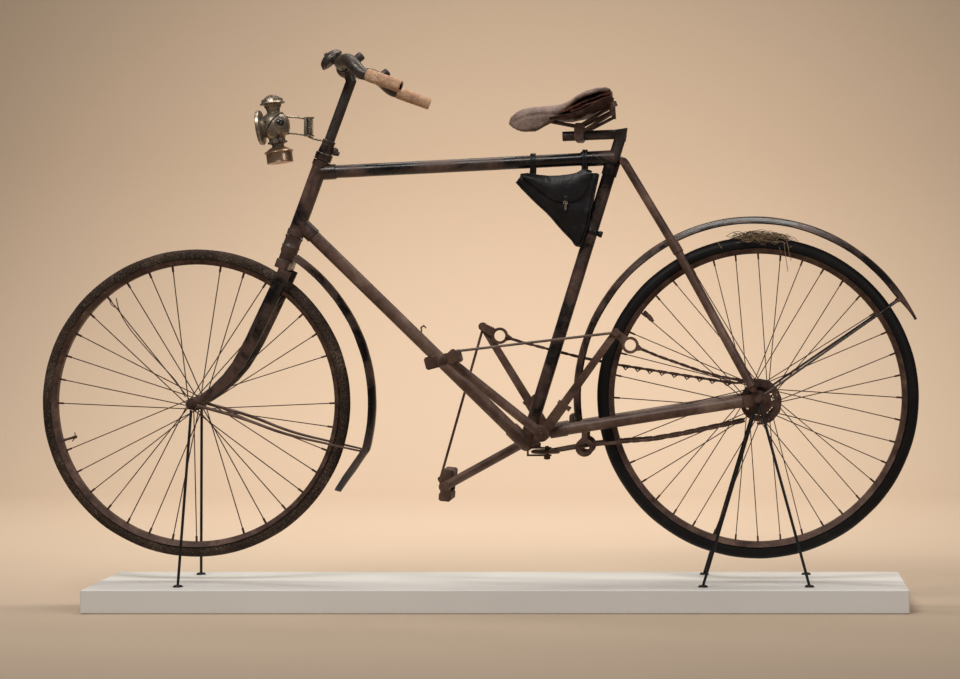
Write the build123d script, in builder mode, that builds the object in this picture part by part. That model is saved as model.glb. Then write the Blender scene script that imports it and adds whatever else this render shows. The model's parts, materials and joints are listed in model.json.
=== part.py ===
"""Lever-driven safety bicycle of the 1890s on its display plinth.

Frame: millimetres, +Z up, the bicycle faces -X, its left side is -Y.
The origin is the middle of the plinth's underside.
"""
from build123d import *
from math import asin, atan2, cos, degrees, hypot, radians, sin, sqrt, tan
import os

# ---------------------------------------------------------------- driving sizes
running_gap = 0.05                   # shaft in its bore
seat_gap = 0.2                       # between curved pieces that rest on each other
free_gap = 0.5                       # between pieces that pass each other

plinth_length, plinth_width, plinth_height = 1728, 316, 50
plinth_edge = 2                      # chamfer round the plinth's edges

front_hub = (-657.0, 431.7)          # (x, z) of the front axle
front_tyre_diameter, front_tyre_section = 661, 30
front_spoke_holes = 36
rear_hub = (550.0, 443.5)
rear_tyre_diameter, rear_tyre_section = 692, 34
rear_spoke_holes = 40
spoke_side = 2                       # spokes and nipples are drawn with four sides
nipple_side, nipple_length = 4, 12
spoke_turn = 72                      # degrees from a spoke's hole in the rim back to its hole in the flange
rim_wall = 2.4

steering_point = (-385.9, 956.1)     # (x, z) of a point on the steering axis, at the headset
steering_lean = 20                   # degrees from the vertical
head_tube_low, head_tube_high, headset_top = -176, -4, 14    # along the steering axis from that point
head_tube_radius, steerer_radius = 16.5, 12.7

frame_tube_radius = 14
lug_radius = 16.5
top_tube_front, top_tube_rear = (-395.8, 927.3), (242.7, 959.5)
down_tube_front, frame_corner = (-436.7, 820.9), (51.6, 344.9)
seat_tube_lean = 17.1
seat_tube_top_z = 957
lever_pivot = (91.2, 369.8)          # (x, z) of the shaft both levers swing on
lever_shaft_radius = 8

chain_plane = 44                     # distance of each chain's middle from the centre plane
chain_width = 9
chain_depth = 6
chain_tooth = 6.5                    # how far the right chain's teeth stand below its links
chain_pitch = 27
drum_radius = 40.5
drum_offset = (2.5, -8.3)            # the drums sit off the axle's centre
drum_lip = 1.5                       # the drum's boss stands this far outside the chain
stay_radius = 12.6
dropout_thickness = 6
dropout_y = chain_plane + chain_width / 2 + drum_lip + stay_radius + 3
stay_eye_thickness = 3               # the seat stay's flat end, outside the drop-out
rear_axle_nut_y = dropout_y + dropout_thickness / 2 + stay_eye_thickness + seat_gap
lever_plane = 49.2                   # the swinging pieces lie outside this distance

# ---------------------------------------------------------------- small helpers
lean_x, lean_z = sin(radians(steering_lean)), cos(radians(steering_lean))
steer_dir = Vector(lean_x, 0, lean_z)
both_sides = (-1, 1)                 # -1 is the bicycle's left


def on_steering(along, behind=0, side=0):
    """Point at a distance along the steering axis, behind it and to the side."""
    x = steering_point[0] + along * lean_x + behind * lean_z
    z = steering_point[1] + along * lean_z - behind * lean_x
    return (x, side, z)


def polar(centre, radius, angle):
    """Side-view point (x, z) at an angle counted from +X towards +Z."""
    return (centre[0] + radius * cos(radians(angle)), centre[1] + radius * sin(radians(angle)))


def at(point, y):
    return (point[0], y, point[1])


def rod(start, end, radius, mode=Mode.ADD):
    run = Vector(*end) - Vector(*start)
    with Locations(Plane(origin=start, z_dir=run).location):
        Cylinder(radius, run.length, align=(Align.CENTER, Align.CENTER, Align.MIN), mode=mode)


def taper(start, end, start_radius, end_radius, mode=Mode.ADD):
    run = Vector(*end) - Vector(*start)
    with Locations(Plane(origin=start, z_dir=run).location):
        Cone(start_radius, end_radius, run.length, align=(Align.CENTER, Align.CENTER, Align.MIN), mode=mode)


def cross_rod(point, y_from, y_to, radius, mode=Mode.ADD):
    rod(at(point, y_from), at(point, y_to), radius, mode)


def ball(centre, radius, mode=Mode.ADD):
    with Locations(centre):
        Sphere(radius, mode=mode)


def wire(*points, radius, sides=8, mode=Mode.ADD):
    """Bent bar with mitred corners, many-sided, or round where sides is 0."""
    with BuildLine() as route:
        Polyline(*points)
    with BuildSketch(Plane(origin=points[0], z_dir=route.line % 0)) as section:
        if sides:
            RegularPolygon(radius, sides)
        else:
            Circle(radius)
    sweep(section.sketch, path=route.line, transition=Transition.RIGHT, mode=mode)


def flat_bar(start, end, start_width, end_width):
    """Side view of a flat bar whose width changes evenly, in the sketch that is open."""
    run = hypot(end[0] - start[0], end[1] - start[1])
    nx, nz = (start[1] - end[1]) / run / 2, (end[0] - start[0]) / run / 2
    Polygon((start[0] + nx * start_width, start[1] + nz * start_width),
            (end[0] + nx * end_width, end[1] + nz * end_width),
            (end[0] - nx * end_width, end[1] - nz * end_width),
            (start[0] - nx * start_width, start[1] - nz * start_width), align=None)


def between(start, end, share):
    return tuple(a + (b - a) * share for a, b in zip(start, end))


def toward(start, end, distance):
    """Point at a distance from start on the way to end."""
    length = sqrt(sum((b - a) ** 2 for a, b in zip(start, end)))
    return between(start, end, distance / length)


def radial_plane(centre, angle):
    """Plane through a wheel's axle: local x runs outwards at the angle, local y along +Y."""
    c, s = cos(radians(angle)), sin(radians(angle))
    return Plane(origin=at(centre, 0), x_dir=(c, 0, s), z_dir=(-s, 0, c))


def axle_axis(centre):
    return Axis(at(centre, 0), (0, 1, 0))


def save(part, name):
    part.part.label = name
    export_step(part.part, "parts/" + name + ".step")


os.makedirs("parts", exist_ok=True)

# ---------------------------------------------------------------- plinth and display struts
with BuildPart() as plinth:
    Box(plinth_length, plinth_width, plinth_height, align=(Align.CENTER, Align.CENTER, Align.MIN))
    chamfer(plinth.edges(), plinth_edge)
save(plinth, "plinth")

strut_radius = 3
foot_radius, foot_height = 11, 4
strut_foot_y = 108
front_washer_radius = 12
front_strut_foot_x = -672
axle_along = (front_hub[0] - steering_point[0]) * lean_x + (front_hub[1] - steering_point[1]) * lean_z
axle_behind = (front_hub[0] - steering_point[0]) * lean_z - (front_hub[1] - steering_point[1]) * lean_x
strut_top_plane = Plane(origin=on_steering(axle_along - front_washer_radius - 0.3), z_dir=steer_dir)
front_strut_y = 47.5
rear_nut_radius, rear_nut_height = 10, 9
rear_strut_feet_x = (433, 657)
rear_strut_top_y = rear_axle_nut_y + rear_nut_height / 2


def strut(foot_x, top):
    """Rod from its round foot on the plinth up to a point."""
    foot = (foot_x, strut_foot_y if top[1] > 0 else -strut_foot_y, plinth_height)
    wire((foot[0], foot[1], foot[2] + foot_height / 2), top, radius=strut_radius)
    return foot


with BuildPart() as front_struts:
    feet = [strut(front_strut_foot_x, on_steering(axle_along, axle_behind, side * front_strut_y))
            for side in both_sides]
    split(bisect_by=strut_top_plane, keep=Keep.BOTTOM)
    with Locations(*feet):
        Cone(foot_radius, foot_radius - 3, foot_height, align=(Align.CENTER, Align.CENTER, Align.MIN))
save(front_struts, "front_struts")

with BuildPart() as rear_struts:
    feet = [strut(x, at(rear_hub, side * rear_strut_top_y)) for side in both_sides for x in rear_strut_feet_x]
    with Locations(*feet):
        Cone(foot_radius, foot_radius - 3, foot_height, align=(Align.CENTER, Align.CENTER, Align.MIN))
    for side in both_sides:
        cross_rod(rear_hub, side * (rear_axle_nut_y - 4.5), side * (rear_axle_nut_y + 22),
                  rear_nut_radius + seat_gap, Mode.SUBTRACT)
save(rear_struts, "rear_struts")

# ---------------------------------------------------------------- frame
head_axis = Axis(on_steering(0), (lean_x, 0, lean_z))
head_plane = Plane(origin=on_steering(0), x_dir=(lean_z, 0, -lean_x), z_dir=(0, -1, 0))
lug_length = 38                      # from the head tube's axis to the end of each socket
head_bore = steerer_radius + 1.5
cup_depth, cup_lip = 12, 2

with BuildPart() as head_tube:
    with BuildSketch(head_plane):
        with BuildLine():
            Polyline((0, head_tube_low), (head_tube_radius + cup_lip, head_tube_low),
                     (head_tube_radius + cup_lip, head_tube_low + cup_depth),
                     (head_tube_radius, head_tube_low + cup_depth + cup_lip),
                     (head_tube_radius, head_tube_high - cup_depth - cup_lip),
                     (head_tube_radius + cup_lip, head_tube_high - cup_depth),
                     (head_tube_radius + cup_lip, head_tube_high), (0, head_tube_high), close=True)
        make_face()
    revolve(axis=head_axis)
    top_socket = toward(at(top_tube_front, 0), at(top_tube_rear, 0), lug_length)
    down_socket = toward(at(down_tube_front, 0), at(frame_corner, 0), lug_length + 6)
    rod(at(top_tube_front, 0), top_socket, lug_radius)
    rod(at(down_tube_front, 0), down_socket, lug_radius)
    with BuildSketch(head_plane):
        with BuildLine():
            Polyline((0, head_tube_low), (steerer_radius + running_gap, head_tube_low),
                     (steerer_radius + running_gap, head_tube_low + cup_depth),
                     (head_bore, head_tube_low + cup_depth + cup_lip),
                     (head_bore, head_tube_high - cup_depth - cup_lip),
                     (steerer_radius + running_gap, head_tube_high - cup_depth),
                     (steerer_radius + running_gap, head_tube_high), (0, head_tube_high), close=True)
        make_face()
    revolve(axis=head_axis, mode=Mode.SUBTRACT)
save(head_tube, "head_tube")

seat_lean = tan(radians(seat_tube_lean))


def on_seat_tube(z, behind=0):
    """Side-view point on the seat tube's axis at a height."""
    return (frame_corner[0] + (z - frame_corner[1]) * seat_lean + behind, z)


seat_sleeve_x = 169.6                # the top tube enters the seat lug here
top_share = (seat_sleeve_x - top_tube_front[0]) / (top_tube_rear[0] - top_tube_front[0])
top_tube_end = between(at(top_tube_front, 0), at(top_tube_rear, 0), top_share)
with BuildPart() as top_tube:
    rod(top_socket, top_tube_end, frame_tube_radius)
save(top_tube, "top_tube")

bracket_socket = 46                  # depth of the casting's sockets from the frame corner
down_tube_end = toward(at(frame_corner, 0), at(down_tube_front, 0), bracket_socket)
hook_bends, hook_radius = ((2, 4), (7, 15), (6, 23), (12, 27), (17, 22)), 1.6    # small hook on the tube's top
with BuildPart() as down_tube:
    rod(down_socket, down_tube_end, frame_tube_radius)
    hook = between(down_socket, down_tube_end, 0.53)
    wire(*[(hook[0] + x, 0, hook[2] + z) for x, z in hook_bends], radius=hook_radius, sides=6)
save(down_tube, "down_tube")

seat_tube_foot = toward(at(frame_corner, 0), at(on_seat_tube(seat_tube_top_z), 0), bracket_socket)
seat_tube_head = at(on_seat_tube(seat_tube_top_z), 0)
seat_pin_radius = 12.3
seat_stay_eye = (262.7, 949.4)
with BuildPart() as seat_tube:
    rod(seat_tube_foot, seat_tube_head, frame_tube_radius)
    rod(toward(seat_tube_head, seat_tube_foot, 38), seat_tube_head, lug_radius)
    rod(top_tube_end, at(top_tube_rear, 0), lug_radius)
    cross_rod(seat_stay_eye, -14, 14, 8.5)
    rod(at(seat_stay_eye, 0), at(top_tube_rear, 0), 8.5)
    rod(toward(seat_tube_head, seat_tube_foot, 120), (seat_tube_head[0] + 30 * seat_lean, 0, seat_tube_head[2] + 30),
        seat_pin_radius + running_gap, Mode.SUBTRACT)
save(seat_tube, "seat_tube")

pivot_barrel_radius = 16
barrel_half = lever_plane - free_gap
shaft_half = 92
with BuildPart() as bottom_bracket:
    rod(down_tube_end, at(frame_corner, 0), lug_radius)
    rod(seat_tube_foot, at(frame_corner, 0), lug_radius)
    ball(at(frame_corner, 0), lug_radius)
    with BuildSketch(Plane.XZ):
        Polygon(frame_corner, (frame_corner[0] + 14, frame_corner[1] - 8),
                (lever_pivot[0] + 4, lever_pivot[1] - 12), (lever_pivot[0] - 6, lever_pivot[1] + 14),
                (frame_corner[0] + 8, frame_corner[1] + 40), align=None)
    extrude(amount=12, both=True)
    cross_rod(lever_pivot, -barrel_half, barrel_half, pivot_barrel_radius)
    cross_rod(lever_pivot, -shaft_half, shaft_half, lever_shaft_radius)
save(bottom_bracket, "bottom_bracket")

# each stay: (front point, y), (rear point, y), radii
stay_front, stay_front_y = (lever_pivot[0] + 15, 372.5), 38
rear_axle_radius = 6
sleeve_length = 36
dropout_reach = 34                   # from the axle to the stay's end
dropout_height, dropout_radius = 24, 17
bridge_radius = 4
guard_centre, guard_radius = (541.6, 444.6), 389
guard_half_width, guard_depth, guard_wall = 25, 15, 1.5
guard_front_angle, guard_rear_angle = 187.7, 25.6

with BuildPart() as chain_stays:
    for side in both_sides:
        start = at(stay_front, side * stay_front_y)
        axle_end = at(rear_hub, side * dropout_y)
        tube_end = toward(axle_end, start, dropout_reach)
        sleeve_end = toward(start, axle_end, sleeve_length)
        rod(start, sleeve_end, stay_radius + 2)
        rod(sleeve_end, tube_end, stay_radius)
        with BuildSketch(Plane.XZ.offset(-side * dropout_y)):
            with Locations(rear_hub):
                Circle(dropout_radius)
            flat_bar((tube_end[0] - 8, tube_end[2] - 1.3), rear_hub, dropout_height, dropout_height)
        extrude(amount=dropout_thickness / 2, both=True)
        cross_rod(rear_hub, side * (dropout_y - 8), side * (dropout_y + 8), rear_axle_radius + running_gap,
                  Mode.SUBTRACT)
    bridge = polar(guard_centre, guard_radius + bridge_radius + seat_gap, guard_front_angle - 2)
    arch = [(bridge[0], y, bridge[1] + drop) for y, drop in ((-40, -22), (-30, 0), (30, 0), (40, -22))]
    wire(*arch, radius=bridge_radius)
    cross_rod(lever_pivot, -shaft_half, shaft_half, pivot_barrel_radius + seat_gap, Mode.SUBTRACT)
save(chain_stays, "chain_stays")

stay_bend, stay_bend_y = (373.7, 765.2), 38
seat_stay_radius = 9
stay_clip_width = 24                 # clip round each stay at its bend
stay_eye_y = dropout_y + dropout_thickness / 2 + seat_gap / 2
stay_eye_radius = 13
seat_stay_foot_y = rear_axle_nut_y + 6
with BuildPart() as seat_stays:
    for side in both_sides:
        eye = at(seat_stay_eye, side * 24)
        bend = at(stay_bend, side * stay_bend_y)
        foot_top = toward(at(rear_hub, side * seat_stay_foot_y), bend, 30)
        foot = at(rear_hub, side * (stay_eye_y + stay_eye_thickness / 2))
        rod(eye, bend, seat_stay_radius)
        rod(bend, foot_top, seat_stay_radius)
        rod(toward(bend, eye, stay_clip_width / 2), toward(bend, foot_top, stay_clip_width / 2), seat_stay_radius + 2)
        cross_rod(seat_stay_eye, side * (14 + 0.1), side * 34, 8.5)
        taper(foot_top, foot, seat_stay_radius, 2)
        cross_rod(rear_hub, side * stay_eye_y, side * (stay_eye_y + stay_eye_thickness), stay_eye_radius)
        cross_rod(rear_hub, side * 50, side * 85, rear_axle_radius + running_gap, Mode.SUBTRACT)
        with Locations(at(rear_hub, side * (stay_eye_y - 20)),
                       at(rear_hub, side * (stay_eye_y + stay_eye_thickness + 20))):
            Box(48, 40, 30, mode=Mode.SUBTRACT)
    stay_bridge = polar(guard_centre, guard_radius + bridge_radius + seat_gap, 117.8)
    wire(at(stay_bridge, -stay_bend_y), at(stay_bridge, stay_bend_y), radius=bridge_radius)
save(seat_stays, "seat_stays")

with BuildPart() as rear_axle:
    tip = rear_axle_nut_y + rear_nut_height + 4
    cross_rod(rear_hub, -tip, tip, rear_axle_radius)
    for side in both_sides:
        with BuildSketch(Plane.XZ.offset(-side * rear_axle_nut_y)):
            with Locations(rear_hub):
                RegularPolygon(rear_nut_radius, 6)
        extrude(amount=-side * rear_nut_height)
save(rear_axle, "rear_axle")

# ---------------------------------------------------------------- wheels
tyre_sides = 6                       # the tyre's round section is drawn with this many straight sides


def tyre(centre, diameter, section):
    with BuildSketch(radial_plane(centre, 0)) as profile:
        with Locations((diameter / 2 - section / 2, 0)):
            RegularPolygon(section / 2, tyre_sides)
    revolve(profile.sketch, axis=axle_axis(centre))


def rim(centre, diameter, section):
    """Trough under the tyre: flat floor, two sloping sides and a groove that the tyre lies in."""
    seat, half = diameter / 2 - section, section / 2
    edge = seat + section * 0.25
    with BuildSketch(radial_plane(centre, 0)) as profile:
        Polygon((seat - seat_gap - rim_wall, -half * 0.55), (edge, -half - rim_wall / 2), (seat - seat_gap, 0),
                (edge, half + rim_wall / 2), (seat - seat_gap - rim_wall, half * 0.55), align=None)
    revolve(profile.sketch, axis=axle_axis(centre))


def hub(centre, holes, flange_y, flange_radius, barrel_radius, rim_radius, bore, end_y, skip=()):
    """Hub shell with its spokes: odd and even spokes start from opposite flanges."""
    with BuildSketch(radial_plane(centre, 0)) as profile:
        with BuildLine():
            Polyline((bore, -end_y), (flange_radius * 0.62, -end_y), (flange_radius * 0.7, -flange_y),
                     (flange_radius, -flange_y), (flange_radius, -flange_y + 3), (barrel_radius, -flange_y + 6),
                     (barrel_radius, flange_y - 6), (flange_radius, flange_y - 3), (flange_radius, flange_y),
                     (flange_radius * 0.7, flange_y), (flange_radius * 0.62, end_y), (bore, end_y), close=True)
        make_face()
    revolve(profile.sketch, axis=axle_axis(centre))
    planes, stubs = [], []
    inner, outer = flange_radius - 2.2, rim_radius - seat_gap
    for n in range(holes):
        angle = 180 - n * 360 / holes
        if n in skip:
            continue
        y = (flange_y - 1.5) * (1 if n % 2 else -1)
        turn = spoke_turn * (1 if n % 4 < 2 else -1)
        start, end = at(polar(centre, inner, angle + turn), y), at(polar(centre, outer, angle), 0)
        run = Vector(*end) - Vector(*start)
        planes.append(Plane(origin=start, z_dir=run).location)
        stubs.append(Plane(origin=toward(end, start, nipple_length), z_dir=run).location)
    reach = run.length
    bottom = (Align.CENTER, Align.CENTER, Align.MIN)
    with Locations(*planes):
        Box(spoke_side, spoke_side, reach - 1, align=bottom)
    with Locations(*stubs):
        Box(nipple_side, nipple_side, nipple_length, align=bottom)


front_axle_radius = 4.5
front_rim_radius = front_tyre_diameter / 2 - front_tyre_section - seat_gap - rim_wall
rear_rim_radius = rear_tyre_diameter / 2 - rear_tyre_section - seat_gap - rim_wall
front_flange_y, front_hub_end = 24, 31
rear_flange_y, rear_hub_end = 28, 33

with BuildPart() as front_tyre:
    tyre(front_hub, front_tyre_diameter, front_tyre_section)
save(front_tyre, "front_tyre")
with BuildPart() as front_rim:
    rim(front_hub, front_tyre_diameter, front_tyre_section)
save(front_rim, "front_rim")
with BuildPart() as front_hub_spokes:
    hub(front_hub, front_spoke_holes, front_flange_y, 14.5, 9, front_rim_radius,
        front_axle_radius + running_gap, front_hub_end, skip=(9, 17, 26, 35))
save(front_hub_spokes, "front_hub")
with BuildPart() as rear_tyre:
    tyre(rear_hub, rear_tyre_diameter, rear_tyre_section)
save(rear_tyre, "rear_tyre")
with BuildPart() as rear_rim:
    rim(rear_hub, rear_tyre_diameter, rear_tyre_section)
save(rear_rim, "rear_rim")
with BuildPart() as rear_hub_spokes:
    hub(rear_hub, rear_spoke_holes, rear_flange_y, 24, 15, rear_rim_radius,
        rear_axle_radius + running_gap, rear_hub_end)
save(rear_hub_spokes, "rear_hub")

# ---------------------------------------------------------------- chain drums and chains
drum_centre = (rear_hub[0] + drum_offset[0], rear_hub[1] + drum_offset[1])
drum_in, drum_out = rear_hub_end + 1, chain_plane + chain_width / 2 + drum_lip
drum_boss_radius, drum_rim_depth, drum_web = 20, 6.5, 3
slot_count, slot_length, slot_width, slot_radius = 6, 20, 6, 29
with BuildPart() as chain_drums:
    for side in both_sides:
        with BuildSketch(radial_plane(drum_centre, 0)):
            with BuildLine():
                web_low, web_high = side * chain_plane - drum_web, side * chain_plane + drum_web
                rim_low, rim_high = side * chain_plane - chain_width / 2, side * chain_plane + chain_width / 2
                low, high = sorted((side * drum_in, side * drum_out))
                Polyline((0, low), (drum_boss_radius, low), (drum_boss_radius + 3, web_low),
                         (drum_radius - drum_rim_depth, web_low), (drum_radius - drum_rim_depth, rim_low),
                         (drum_radius, rim_low), (drum_radius, rim_high),
                         (drum_radius - drum_rim_depth, rim_high), (drum_radius - drum_rim_depth, web_high),
                         (drum_boss_radius + 3, web_high), (drum_boss_radius, high), (0, high), close=True)
            make_face()
        revolve(axis=axle_axis(drum_centre))
    with BuildSketch(Plane.XZ):
        with Locations(drum_centre):
            with PolarLocations(slot_radius, slot_count, start_angle=20):
                Rectangle(slot_width, slot_length)
    extrude(amount=drum_out, both=True, mode=Mode.SUBTRACT)
    cross_rod(rear_hub, -90, 90, rear_axle_radius + running_gap, Mode.SUBTRACT)
save(chain_drums, "chain_drums")


def link_places(path):
    """Side-view centres and slopes of the links that fill a path of points."""
    places = []
    for start, end in zip(path, path[1:]):
        run, rise = end[0] - start[0], end[1] - start[1]
        count = max(1, round(hypot(run, rise) / chain_pitch))
        for n in range(count):
            share = (n + 0.5) / count
            places.append((between(start, end, share), degrees(atan2(rise, run)), hypot(run, rise) / count))
    return places


def chain(path, side, tooth=0):
    """Links along a path; a tooth is a pierced triangle under the middle of each link."""
    with BuildSketch(Plane.XZ.offset(-side * chain_plane)) as links:
        for place, slope, pitch in link_places(path):
            with Locations(Location((place[0], place[1], 0), (0, 0, slope))):
                waist, belly = chain_depth * 0.32, -chain_depth / 2
                Polygon((-pitch / 2 - 1, -waist), (-pitch / 2 - 1, waist), (-pitch / 4, chain_depth / 2),
                        (pitch / 4, chain_depth / 2), (pitch / 2 + 1, waist), (pitch / 2 + 1, -waist),
                        (pitch / 4, belly), (0, belly - tooth), (-pitch / 4, belly), align=None)
                if tooth:
                    Polygon((-2.4, belly - 0.5), (2.4, belly - 0.5), (0, belly - tooth * 0.6), align=None,
                            mode=Mode.SUBTRACT)
    extrude(links.sketch, amount=chain_width / 2, both=True)


wrap_radius = drum_radius + chain_depth / 2 + seat_gap
wrap_step = 2 * degrees(asin(chain_pitch / 2 / wrap_radius))


def wrapped(start_angle):
    """Pitch points of five links laid over the drum, from the start angle down its rear."""
    outwards = wrap_radius / cos(radians(wrap_step / 2))
    return [polar(drum_centre, outwards, start_angle - n * wrap_step) for n in range(6)]


# upper chains: side, plain run from the stirrup, toothed run on to the drum, angle where it meets the drum
upper_chains = {
    "left": (-1, [(298.4, 550), (336.3, 534.1), (427, 502.2), (470.8, 490)], [(470.8, 490), (512.4, 482.7)], 85),
    "right": (1, [(4.3, 572.1), (40.4, 561.4), (90.7, 548), (166.4, 528.7), (251, 512)],
              [(251, 512), (355.8, 495.4), (465.5, 477.9), (502.9, 473)], 97),
}
for name, (side, plain_run, toothed_run, drum_angle) in upper_chains.items():
    drum_run = wrapped(drum_angle)
    with BuildPart() as upper_chain:
        chain(plain_run, side)
        chain(toothed_run, side, chain_tooth if side > 0 else 0)
        chain([toothed_run[-1]] + drum_run, side)
        with BuildSketch(Plane.XZ):
            with Locations(drum_centre):
                Circle(drum_radius + seat_gap)
        extrude(amount=drum_out, both=True, mode=Mode.SUBTRACT)
    save(upper_chain, name + "_upper_chain")

pulley_centre, pulley_z = (96.5, 0), 327.5
pulley_radius, pulley_thickness = 27, 7
strand_radius = 3.6
lower_run = [(546.6, 390.2), (519.9, 395.2), (387.7, 366.6), (324, 355.4), (255.6, 350.5), (190, 344)]
pulley_pass = pulley_radius + strand_radius + seat_gap * 2
with BuildPart() as lower_chain:
    for side in both_sides:
        chain(lower_run[1:], side)
        wire(at(lower_run[-2], side * chain_plane), at(lower_run[-1], side * chain_plane),
             (pulley_centre[0], side * pulley_pass, pulley_z), radius=strand_radius)
    with BuildSketch(Plane(origin=(pulley_centre[0], pulley_pass, pulley_z), x_dir=(0, 1, 0), z_dir=(-1, 0, 0))):
        RegularPolygon(strand_radius, 8)
    revolve(axis=Axis((pulley_centre[0], 0, pulley_z), (0, 0, 1)), revolution_arc=180)
save(lower_chain, "lower_chain")

stirrup_arm_height, stirrup_wall, pulley_pin_radius = 6.5, 3, 4
with BuildPart() as reversing_pulley:
    with Locations((pulley_centre[0], 0, pulley_z)):
        Cylinder(pulley_radius, pulley_thickness)
    rod((pulley_centre[0], 0, pulley_z - 17), (pulley_centre[0], 0, pulley_z + 12), pulley_pin_radius)
    with Locations((pulley_centre[0], 0, pulley_z - 13)):
        Cylinder(7, 6)
    with BuildSketch(Plane.XZ):
        front_x, rear_x = pulley_centre[0] - pulley_radius - 16, pulley_centre[0] + 9
        with Locations(((front_x + rear_x) / 2, pulley_z)):
            Rectangle(rear_x - front_x, 2 * (stirrup_arm_height + stirrup_wall))
        with Locations(((front_x + rear_x) / 2 + stirrup_wall, pulley_z)):
            Rectangle(rear_x - front_x, 2 * stirrup_arm_height, mode=Mode.SUBTRACT)
    extrude(amount=8, both=True)
    with Locations((pulley_centre[0] - 22, 0, pulley_z + 14)):
        Box(16, 14, 10)
    with BuildSketch(Plane.XZ):
        with Locations(frame_corner):
            Circle(lug_radius + seat_gap)
        with Locations(lever_pivot):
            Circle(pivot_barrel_radius + seat_gap)
        Polygon(frame_corner, (frame_corner[0] + 14, frame_corner[1] - 8.2),
                (lever_pivot[0] + 4, lever_pivot[1] - 12.2), lever_pivot, align=None)
    extrude(amount=30, both=True, mode=Mode.SUBTRACT)
save(reversing_pulley, "reversing_pulley")

guide_centre, guide_outer, guide_hole = (180.0, 339.5), 19.5, 10
with BuildPart() as chain_guides:
    for side in both_sides:
        plane = Plane.XZ.offset(-side * (chain_plane + chain_width / 2 + 2.5))
        with BuildSketch(plane):
            with Locations(guide_centre):
                Circle(guide_outer)
                Circle(guide_hole, mode=Mode.SUBTRACT)
            with Locations((guide_centre[0], guide_centre[1] + 30)):
                Rectangle(12, 26)
        extrude(amount=1.5, both=True)
        cross_rod((guide_centre[0], guide_centre[1] + 41), side * 40, side * (chain_plane + chain_width / 2 + 4), 5)
    for side in both_sides:
        start = at(stay_front, side * stay_front_y)
        axle_end = at(rear_hub, side * dropout_y)
        rod(toward(start, axle_end, sleeve_length), toward(axle_end, start, dropout_reach),
            stay_radius + seat_gap, Mode.SUBTRACT)
save(chain_guides, "chain_guides")

# ---------------------------------------------------------------- levers
pedal_arm_length, upper_arm_length = 256, 265
arm_spread = 87.3                    # degrees between the two arms of a lever
lever_swing = 67.5
boss_outer, boss_radius = 88, 16
pedal_arm_y, pedal_arm_radius = 77, 10
upper_arm_thickness = 8
socket_width, upper_arm_width, socket_length = 23, 18, 76    # the upper arm leaves a wider socket
clip_width, clip_height, clip_lug = 8, 26, 6                 # clip round the socket's end
stirrup_thickness = 6
pedal_inner, pedal_outer = 95, 182
spindle_radius, pedal_boss_radius = 6, 12
tie_lug_reach, tie_lug_thickness = 19, 6                     # eye of the tie rod beside the pedal spindle
tie_rod_radius = 2.8
loop_radius, loop_hole, loop_tip = 18, 12, 4.5               # teardrop loop that takes the chain
notch_count, notch_size = 4, 2.2
plate_half, plate_end, block_reach, block_width, block_height = 34, 20, 25, 20, 27
# side, angle of the pedal arm at rest, the chain loop's distance from the pivot and its angle,
# the point its tip reaches towards, tilt of the pedal
levers = {
    "left": (-1, 141.4, 264.6, 45.2, (298.4, 550), 14),
    "right": (1, 141.4 + lever_swing, 229.3, 116.3, (12, 570), 84),
}

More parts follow.
